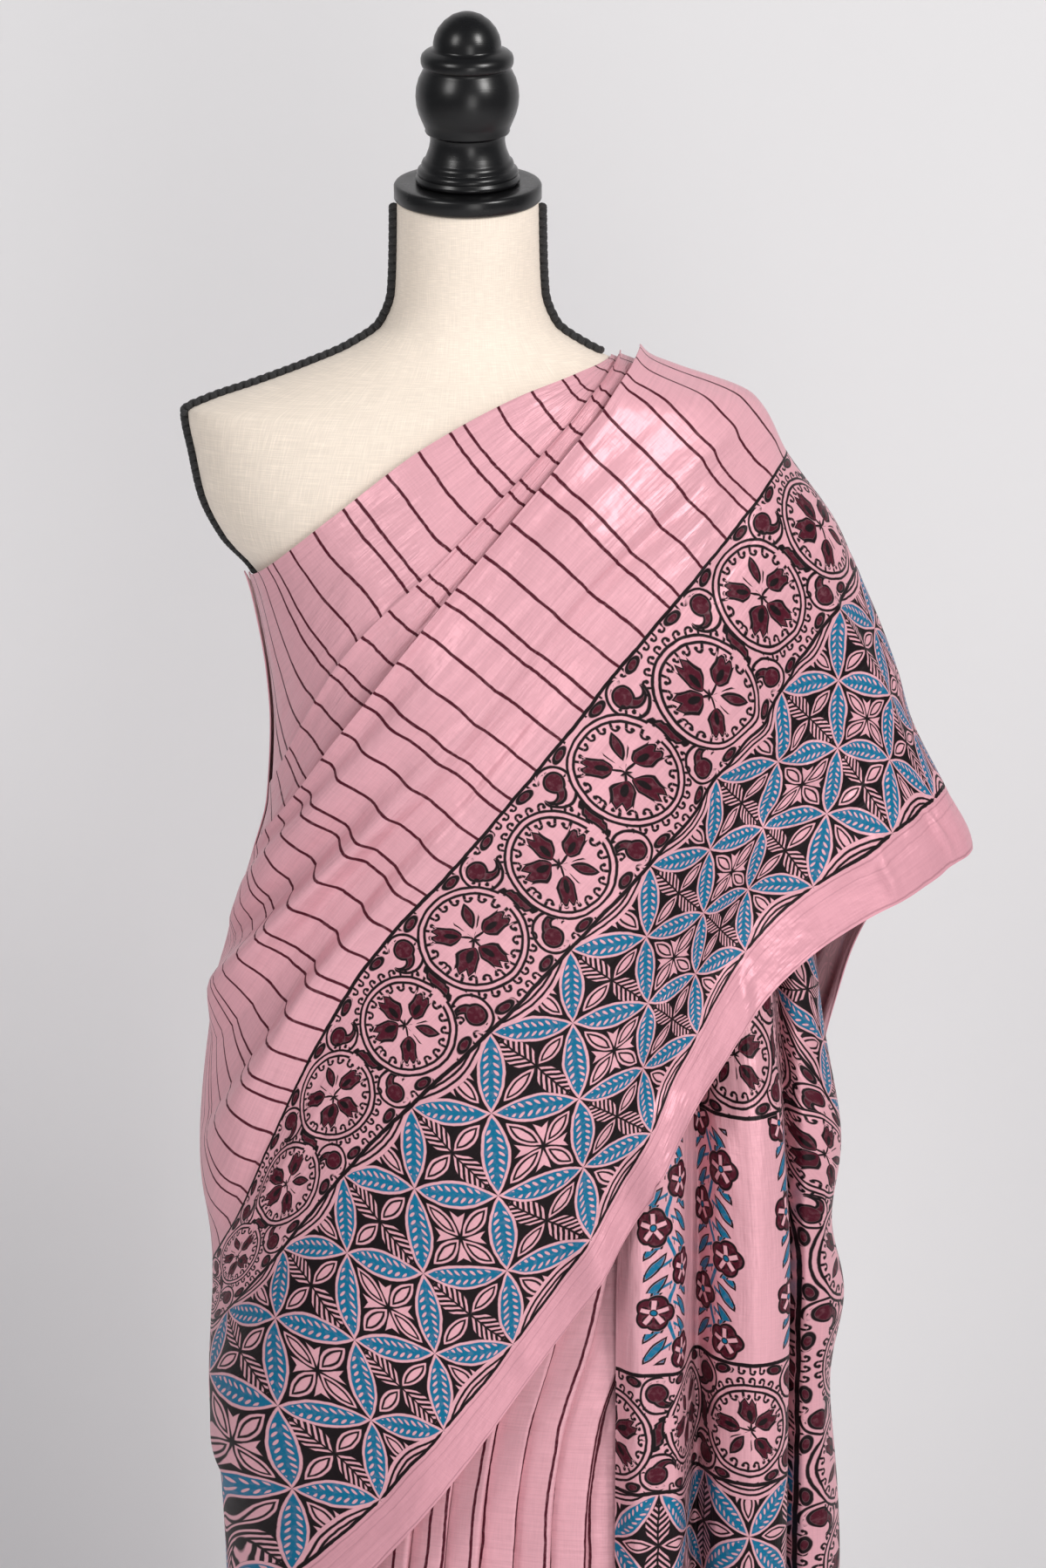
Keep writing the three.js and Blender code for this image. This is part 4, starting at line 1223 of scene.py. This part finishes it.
class SAREE_OT_form(bpy.types.Operator):
    """Builds the linen-covered form, its cap and knob, and gives the stand its lacquer"""

    bl_idname = "saree.form"
    bl_label = "Dress form"

    def execute(self, context):
        settings = settings_of(context)
        linen = kept("cream_linen", linen_material, settings)
        lacquer = kept("black_lacquer", lacquer_material, settings)
        grid = body_grid(TORSO, 128)
        rings, count = grid.shape[:2]
        mesh = bpy.data.meshes.new("form_cover")
        points = [tuple(p) for p in grid.reshape(-1, 3) * MM]
        faces = []
        for i in range(rings - 1):
            for j in range(count):
                k = (j + 1) % count
                faces.append((i * count + j, i * count + k, (i + 1) * count + k, (i + 1) * count + j))
        faces.append(tuple(reversed(range(count))))
        faces.append(tuple(range((rings - 1) * count, rings * count)))
        mesh.from_pydata(points, [], faces)
        mesh.shade_smooth()
        mesh.materials.append(linen)
        form = bpy.data.objects.new("form_cover", mesh)
        context.scene.collection.objects.link(form)
        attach(form, "root")
        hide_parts("form_torso")
        for name, rows, height in (
            ("cap_turned", CAP_PROFILE, SEAM_GAP),
            ("knob_turned", KNOB_PROFILE, 2 * SEAM_GAP + CAP_THICKNESS),
        ):
            piece = turned(name, rows, height, lacquer)
            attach(piece, "root")
            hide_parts("neck_cap" if name == "cap_turned" else "neck_knob")
        for name in ("stand_pole", "stand_base"):
            node = bpy.data.objects[name]
            node.data.materials.clear()
            node.data.materials.append(lacquer)
        return {"FINISHED"}


# Turned profiles: radius and rise in millimetres, from the middle of the foot up.
CAP_PROFILE = [
    (0, 0), (49.5, 0), (51, 1.5), (51, 10), (50, 11.6), (48.5, 12), (44, 12), (0, 12),
]
KNOB_PROFILE = [
    (0, 0), (34.6, 0), (36, 1.2), (36, 3.6), (34.4, 5), (34.4, 5.6), (35, 7), (34.2, 9.4),
    (32, 10.4), (31.6, 11), (31.9, 13), (31, 15.2), (29.4, 16.2), (29.2, 17), (28, 20),
    (26.6, 24), (25.7, 29), (25.9, 33), (26.2, 34), (28.6, 34.8), (29.2, 36), (29, 37.4),
    (31.4, 43), (33.6, 48.4), (35, 54), (35.5, 60), (35, 66), (33.4, 72), (30.6, 77.6),
    (29.4, 79.4), (29.6, 80.2), (31, 81), (31.7, 83), (31.8, 86), (31, 88.6), (28.8, 90.6),
    (25.6, 92), (23.6, 93), (23.3, 94.2), (23.2, 97), (22.2, 101.6), (19.8, 106.6),
    (15.8, 111.4), (10.4, 115.4), (5, 117.4), (0, 118),
]
TURNED_SIDES = 96


def turned(name, rows, height, material):
    """A turned piece on the neck, from its profile."""
    count = TURNED_SIDES
    mesh = bpy.data.meshes.new(name)
    made = bmesh.new()
    rings = []
    for radius, rise in rows:
        if radius == 0:
            rings.append([made.verts.new((0, 0, rise * MM))])
            continue
        ring = []
        for k in range(count):
            angle = 2 * math.pi * k / count
            x, y = radius * math.cos(angle), radius * math.sin(angle)
            ring.append(made.verts.new((x * MM, y * MM, rise * MM)))
        rings.append(ring)
    for low, high in zip(rings, rings[1:]):
        for k in range(count):
            j = (k + 1) % count
            corners = [low[k % len(low)], low[j % len(low)], high[j % len(high)], high[k % len(high)]]
            made.faces.new(list(dict.fromkeys(corners)))
    place = Matrix.Translation((0, NECK_CENTRE * MM, NECK_TOP * MM)) @ Matrix.Rotation(NECK_TILT, 4, "X")
    made.transform(place @ Matrix.Translation((0, 0, height * MM)))
    made.normal_update()
    made.to_mesh(mesh)
    made.free()
    mesh.shade_smooth()
    mesh.materials.append(material)
    piece = bpy.data.objects.new(name, mesh)
    bpy.context.scene.collection.objects.link(piece)
    return piece


BRAID_TOP = 1516
BRAID_SPACING = 0.0031
BRAID_SLANT = 0.75


def braid_path(side, lowest):
    """The side seam from the neck down to the cloth, in metres."""
    heights = np.linspace(BRAID_TOP, lowest, 240)
    half, shift = follow(TORSO, "z", "half", heights), follow(TORSO, "z", "shift", heights)
    return np.stack([side * half, shift, heights], 1) * MM


def braid_nodes(material):
    """Slanted knots along a path, two to a stitch, as one set of geometry nodes."""
    tree = bpy.data.node_groups.new("braid_knots", "GeometryNodeTree")
    tree.interface.new_socket("Geometry", in_out="INPUT", socket_type="NodeSocketGeometry")
    spacing = tree.interface.new_socket("Spacing", in_out="INPUT", socket_type="NodeSocketFloat")
    spacing.default_value = BRAID_SPACING
    tree.interface.new_socket("Knot", in_out="INPUT", socket_type="NodeSocketObject")
    tree.interface.new_socket("Geometry", in_out="OUTPUT", socket_type="NodeSocketGeometry")
    add = tree.nodes.new
    source, sink = add("NodeGroupInput"), add("NodeGroupOutput")
    curve, points = add("GeometryNodeMeshToCurve"), add("GeometryNodeCurveToPoints")
    points.mode = "LENGTH"
    info, place = add("GeometryNodeObjectInfo"), add("GeometryNodeInstanceOnPoints")
    turn, real = add("FunctionNodeRotateRotation"), add("GeometryNodeRealizeInstances")
    finish = add("GeometryNodeSetMaterial")
    index, parity, swing = add("GeometryNodeInputIndex"), add("ShaderNodeMath"), add("ShaderNodeMath")
    euler = add("ShaderNodeCombineXYZ")
    parity.operation = "MODULO"
    parity.inputs[1].default_value = 2
    swing.operation = "MULTIPLY_ADD"
    swing.inputs[1].default_value = 2 * BRAID_SLANT
    swing.inputs[2].default_value = -BRAID_SLANT
    turn.rotation_space = "LOCAL"
    finish.inputs["Material"].default_value = material
    link = tree.links.new
    link(source.outputs[0], curve.inputs[0])
    link(curve.outputs[0], points.inputs["Curve"])
    link(source.outputs["Spacing"], points.inputs["Length"])
    link(source.outputs["Knot"], info.inputs["Object"])
    link(points.outputs["Points"], place.inputs["Points"])
    link(info.outputs["Geometry"], place.inputs["Instance"])
    link(index.outputs[0], parity.inputs[0])
    link(parity.outputs[0], swing.inputs[0])
    link(swing.outputs[0], euler.inputs[0])
    link(points.outputs["Rotation"], turn.inputs["Rotation"])
    link(euler.outputs[0], turn.inputs["Rotate By"])
    link(turn.outputs[0], place.inputs["Rotation"])
    link(place.outputs[0], real.inputs[0])
    link(real.outputs[0], finish.inputs[0])
    link(finish.outputs[0], sink.inputs[0])
    return tree


class SAREE_OT_braid(bpy.types.Operator):
    """Lays black braid along the form's side seams"""

    bl_idname = "saree.braid"
    bl_label = "Braid"

    def execute(self, context):
        settings = settings_of(context)
        material = kept("black_braid", braid_material, settings)
        width = settings.braid_width
        knot_mesh = bpy.data.meshes.new("knot")
        made = bmesh.new()
        bmesh.ops.create_uvsphere(made, u_segments=10, v_segments=8, radius=0.5)
        made.transform(Matrix.Diagonal((width * 0.62, width * 0.9, width * 0.34, 1.0)))
        made.to_mesh(knot_mesh)
        made.free()
        knot = bpy.data.objects.new("knot", knot_mesh)
        context.scene.collection.objects.link(knot)
        tree = braid_nodes(material)
        for name, side, lowest in (("form_braid_left", -1, 1262), ("form_braid_right", 1, 1416)):
            path = braid_path(side, lowest)
            mesh = bpy.data.meshes.new(name + "_path")
            rise = np.array([side * 0.0022, -0.003, 0.001])
            mesh.from_pydata([tuple(p + rise) for p in path], [(k, k + 1) for k in range(len(path) - 1)], [])
            line = bpy.data.objects.new(name + "_line", mesh)
            context.scene.collection.objects.link(line)
            knots = line.modifiers.new("knots", "NODES")
            knots.node_group = tree
            knots[tree.interface.items_tree["Knot"].identifier] = knot
            context.view_layer.update()
            view = line.evaluated_get(context.evaluated_depsgraph_get())
            final = bpy.data.meshes.new_from_object(view)
            final.shade_smooth()
            braid = bpy.data.objects.new(name + "_knots", final)
            context.scene.collection.objects.link(braid)
            bpy.data.objects.remove(line)
            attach(braid, "root")
            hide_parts(name)
        bpy.data.objects.remove(knot)
        return {"FINISHED"}


def first_wrap_points(count, levels):
    """The skirt's inner wrap, as rings of points."""
    turns = np.linspace(0, 2 * np.pi, count, endpoint=False)[:, None]
    z = np.asarray(levels)[None, :]
    half = follow(SKIRT, "z", "half", z) + CLOTH_WALL
    front, back = follow(SKIRT, "z", "front", z), follow(SKIRT, "z", "back", z)
    depth = np.where(np.sin(turns) < 0, front, back) + CLOTH_WALL
    x, y = half * np.cos(turns), depth * np.sin(turns)
    return np.stack([x, y, np.broadcast_to(z, x.shape)], 2)


def wrap_points(turns, levels):
    """The second wrap round the back, at every turn and level."""
    turn, level = turns[:, None], levels[None, :]
    angle = np.radians(turn)
    top, low = follow(WRAP_BACK, "turn", "top", turn), follow(WRAP_BACK, "turn", "low", turn)
    z = mix(low, top, level)
    ease = mix(TUCK, WRAP_EASE, smooth((1014 - z) / 60))
    hip = follow(SKIRT, "z", "half", z) + ease
    to_right = smooth((turn - 90) / 60)
    side = np.where(turn < 90, follow(DRAPE, "z", "left", z), hip)
    back = mix(follow(DRAPE, "z", "back", z), follow(SKIRT, "z", "back", z) + ease, to_right)
    depth = np.where(turn <= 180, back, follow(SKIRT, "z", "front", z) + np.minimum(ease, 5))
    quiet = smooth(turn / 30) * (1 - smooth((turn - 165) / 20))
    fold = 3.4 * np.sin(turn * 0.29 + 2.2 * level) * quiet * smooth(level * 8)
    x, y = -side * np.cos(angle), depth * np.sin(angle)
    away = np.hypot(x, y)
    lift = 2 * SIDE_STEP * (1 - smooth((turn - 90) / 60)) + CLOTH_WALL + fold
    return np.stack([x + x / away * lift, y + SEAM_GAP + y / away * lift, z], 2)


def pleat_points(z):
    """The front pleats at every level: each rises to its fold on the right and steps down."""
    z = np.asarray(z)[None, :]
    shares, heights = [], []
    fine = np.linspace(0, 1, PLEAT_STEPS)
    profile_x = np.array([row["share"] for row in PLEAT_PROFILE])
    profile_y = np.array([row["height"] for row in PLEAT_PROFILE])
    for k in range(PLEAT_COUNT):
        inner = mix(0.02, 0.98, fine)
        shares.extend((k + inner) / PLEAT_COUNT)
        heights.extend(np.interp(inner, profile_x, profile_y))
    share, height = np.array(shares)[:, None], np.array(heights)[:, None]
    x = mix(follow(PLEAT_EDGES, "z", "left", z), follow(PLEAT_EDGES, "z", "right", z), share)
    half = follow(SKIRT, "z", "half", z) + 14
    depth = follow(SKIRT, "z", "front", z) + mix(TUCK - 1, 6, smooth((1000 - z) / 60))
    curve = (1 - np.clip(np.abs(x) / half, 0, 1) ** 2.5) ** 0.4
    rise = PLEAT_RISE * height * mix(0.45, 1, smooth((1010 - z) / 200)) + CLOTH_WALL
    y = -depth * curve
    out = np.hypot(x * 0.5, depth)
    return np.stack([x + x * 0.5 / out * rise, y - depth / out * rise, np.broadcast_to(z, x.shape)], 2)


def fall_uv(points, low, first, level=0):
    """UV in metres for cloth that hangs square to the floor, measured round at one of its levels."""
    along = first - arc_lengths(points)[:, level : level + 1]
    across = points[:, :, 2] - low
    return np.stack([np.broadcast_to(along, across.shape), across], 2) * MM


class SAREE_OT_skirt(bpy.types.Operator):
    """Builds the first wrap, the front pleats and the second wrap"""

    bl_idname = "saree.skirt"
    bl_label = "Skirt"

    def execute(self, context):
        settings = settings_of(context)
        silk = kept("printed_silk", silk_material, settings)
        thick = settings.thickness / MM
        points = first_wrap_points(160, np.linspace(SKIRT[0]["z"], HEM_HEIGHT, 90))
        closed = np.concatenate([points, points[:1]])
        uv = fall_uv(closed, HEM_HEIGHT, -2400)
        piece = cloth("first_wrap_silk", points, uv, thick, silk, ring=True)
        declare_cloth(piece, "first_wrap", closed)
        points = pleat_points(np.linspace(PLEAT_EDGES[0]["z"], HEM_HEIGHT, 200))
        points = ruffled(points, settings.wrinkles * 0.7, 3)
        uv = fall_uv(points, HEM_HEIGHT, -1500, 60)
        tuck = np.repeat(np.arange(PLEAT_COUNT), PLEAT_STEPS) * PLEAT_TUCK
        uv[:, :, 0] -= tuck[:, None]
        piece = cloth("front_pleats_silk", points, uv, thick, silk)
        declare_cloth(piece, "front_pleats", points)
        turns, levels = np.linspace(0, 228, 200), np.linspace(0, 1, 150)
        points = ruffled(wrap_points(turns, levels), settings.wrinkles, 5)
        low, top = points[:, :1, 2], points[:, -1:, 2]
        band = follow(WRAP_BACK, "turn", "band", turns)[:, None]
        z = points[:, :, 2]
        below = BORDER_WIDTH * (z - low) / (band - low)
        above = BORDER_WIDTH + (CLOTH_WIDTH - BORDER_WIDTH) * (z - band) / (top - band)
        along = -640 - arc_lengths(points)[:, 60:61]
        uv = np.stack([np.broadcast_to(along, z.shape), np.where(z < band, below, above)], 2) * MM
        piece = cloth("second_wrap_silk", points, uv, thick, silk)
        declare_cloth(piece, "second_wrap", points)
        return {"FINISHED"}


def ruffled(points, height, seed):
    """A grid with small soft unevenness added, none at its edges."""
    n, m = points.shape[:2]
    x, y = arc_lengths(points), arc_lengths(points, 1)
    rise = lumps(x, y * 0.35, seed, 46) * 1.3 + lumps(x * 0.6, y * 0.5, seed + 9, 21) * 0.5
    i, j = np.arange(n)[:, None] / (n - 1), np.arange(m)[None, :] / (m - 1)
    calm = smooth(i * 14) * smooth((1 - i) * 14) * smooth(j * 14) * smooth((1 - j) * 14)
    return lifted(points, (rise + 0.6) * calm * height)


class SAREE_OT_drape(bpy.types.Operator):
    """Builds the top pleat, the middle pleat and the front drape"""

    bl_idname = "saree.drape"
    bl_label = "Front drape"

    def execute(self, context):
        settings = settings_of(context)
        silk = kept("printed_silk", silk_material, settings)
        thick = settings.thickness / MM
        wrinkle = settings.wrinkles

        def strip_relief(run, place):
            small = lumps(run * 620, place, 2, 42) * 0.5 + lumps(run * 620, place * 2, 7, 30) * 0.2
            roll = 2.2 * bump((UPPER_FOLD - place) / 7) * smooth(run / 0.3)
            return roll + (small + 0.3) * 0.8 * wrinkle * smooth(run * 12) * smooth((1 - run) * 12)

        def main_relief(run, place):
            big = fan_relief(run, place) + FOLD_BASE * smooth(run / 0.2)
            calm = smooth(run * 14) * smooth((1 - run) * 14)
            small = crease_relief(run, place) + lumps(run * 400, place, 4, 38) * 1.3
            return np.maximum(0, big + small * wrinkle * calm)

        stretches = (
            ("top_pleat", TOP_SELVEDGE, UPPER_FOLD - UNDERLAP, 0, (220, 90), strip_relief, "form_cover"),
            ("middle_pleat", UPPER_FOLD, LOWER_FOLD - UNDERLAP, 1, (220, 90), strip_relief, "top_pleat_silk"),
            ("front_drape", LOWER_FOLD, 0, 2, (240, 150), main_relief, "middle_pleat_silk"),
        )
        for node, upper, lower, layer, counts, relief, under in stretches:
            name = node + "_silk"
            piece, points = front_piece(name, upper, lower, layer, counts, silk, thick, relief)
            declare_cloth(piece, node, points)
        return {"FINISHED"}


def end_points(places, z):
    """The loose end's rolls beside the hip, at every place and level."""
    place, z = places[:, None], z[None, :]
    fall = smooth((END_TOP - z) / 330)
    x = mix(follow(END_ROLLS, "place", "topX", place), follow(END_ROLLS, "place", "lowX", place), fall)
    y = mix(follow(END_ROLLS, "place", "topY", place), follow(END_ROLLS, "place", "lowY", place), fall)
    flutter = np.sin(z / 27 + 1.2 * np.sin(z / 61)) * smooth((100 - place) / 90)
    return np.stack([x + 5 * flutter, y - 3 * flutter, np.broadcast_to(z, x.shape)], 2)


def pallu_points(runs, widths):
    """The loose end behind, from the shoulder down the back."""
    run, width = runs[:, None], widths[None, :]
    start = follow(RAILS, "place", "right", mix(LOWER_FOLD, 0, width))
    z = mix(start, PALLU_END_HEIGHT, run**1.15)
    inner, outer = follow(PALLU_BACK, "run", "inner", run), follow(PALLU_BACK, "run", "outer", run)
    angle = np.radians(mix(inner, outer, width))
    right, left = follow(PALLU_RIGHT, "z", "reach", z), follow(DRAPE, "z", "left", z) + 12
    reach = np.where(np.sin(angle) > 0, right, left)
    back = follow(DRAPE, "z", "back", z) + 14 * smooth(run * 5)
    x, y = reach * np.sin(angle), SEAM_GAP - back * np.cos(angle)
    fold = smooth((run - 0.12) / 0.4) * np.sin(2 * np.pi * PALLU_FOLDS * width + 0.6 * run)
    stand = smooth((run - 0.08) / 0.3)
    turned = smooth(run / 0.08)
    out_x, out_y = x * mix(1, 0.6, turned), back * turned
    lift = (PALLU_CLEARANCE + PALLU_FOLD_HEIGHT * (fold + stand)) / np.hypot(out_x, out_y)
    return np.stack([x + out_x * lift, y + out_y * lift, z], 2)


class SAREE_OT_pallu(bpy.types.Operator):
    """Builds the loose end over the shoulder and beside the hip"""

    bl_idname = "saree.pallu"
    bl_label = "Loose end"

    def execute(self, context):
        settings = settings_of(context)
        silk = kept("printed_silk", silk_material, settings)
        thick = settings.thickness / MM
        runs = np.linspace(0, 1, 170) ** 1.25
        base = pallu_points(runs, np.linspace(0, 1, 150))
        points = lifted(base, CLOTH_WALL)
        across = mix(LOWER_FOLD, 0, np.linspace(0, 1, 150))[None, :]
        along = arc_lengths(base)
        uv = np.stack([along, np.broadcast_to(across, along.shape)], 2) * MM
        piece = cloth("pallu_back_silk", points, uv, thick, silk)
        declare_cloth(piece, "pallu_back", points)
        places = np.linspace(END_ROLLS[0]["place"], 0, 230)
        z = np.linspace(END_TOP, PALLU_END_HEIGHT, 180)
        points = end_points(places, z)
        share = smooth((1010 - z) / 240)[None, :]
        upper = follow(END_PRINT, "place", "top", places)[:, None]
        lower = follow(END_PRINT, "place", "low", places)[:, None]
        along = np.broadcast_to(440 + (989 - z)[None, :], share.shape) + 0 * upper
        uv = np.stack([along, mix(upper, lower, share)], 2) * MM
        piece = cloth("pallu_end_silk", points, uv, thick, silk)
        declare_cloth(piece, "pallu_end", points)
        return {"FINISHED"}


class SAREE_PT_panel(bpy.types.Panel):
    """Lists the steps that build the saree"""

    bl_label = "Saree"
    bl_idname = "SAREE_PT_panel"
    bl_space_type = "VIEW_3D"
    bl_region_type = "UI"
    bl_category = "Saree"

    def draw(self, context):
        for step in STEPS:
            self.layout.operator(step.bl_idname)
        for name in SareeSettings.__annotations__:
            self.layout.prop(context.scene.saree, name)


STEPS = (
    SAREE_OT_camera,
    SAREE_OT_stage,
    SAREE_OT_form,
    SAREE_OT_braid,
    SAREE_OT_skirt,
    SAREE_OT_drape,
    SAREE_OT_pallu,
)
CLASSES = (SareeSettings, *STEPS, SAREE_PT_panel)


def register():
    for cls in CLASSES:
        bpy.utils.register_class(cls)
    bpy.types.Scene.saree = bpy.props.PointerProperty(type=SareeSettings)


def unregister():
    del bpy.types.Scene.saree
    for cls in reversed(CLASSES):
        bpy.utils.unregister_class(cls)


def main():
    register()
    bpy.ops.saree.camera()
    bpy.ops.saree.stage()
    bpy.ops.saree.form()
    bpy.ops.saree.braid()
    bpy.ops.saree.skirt()
    bpy.ops.saree.drape()
    bpy.ops.saree.pallu()
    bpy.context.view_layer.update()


if __name__ == "__main__":
    main()
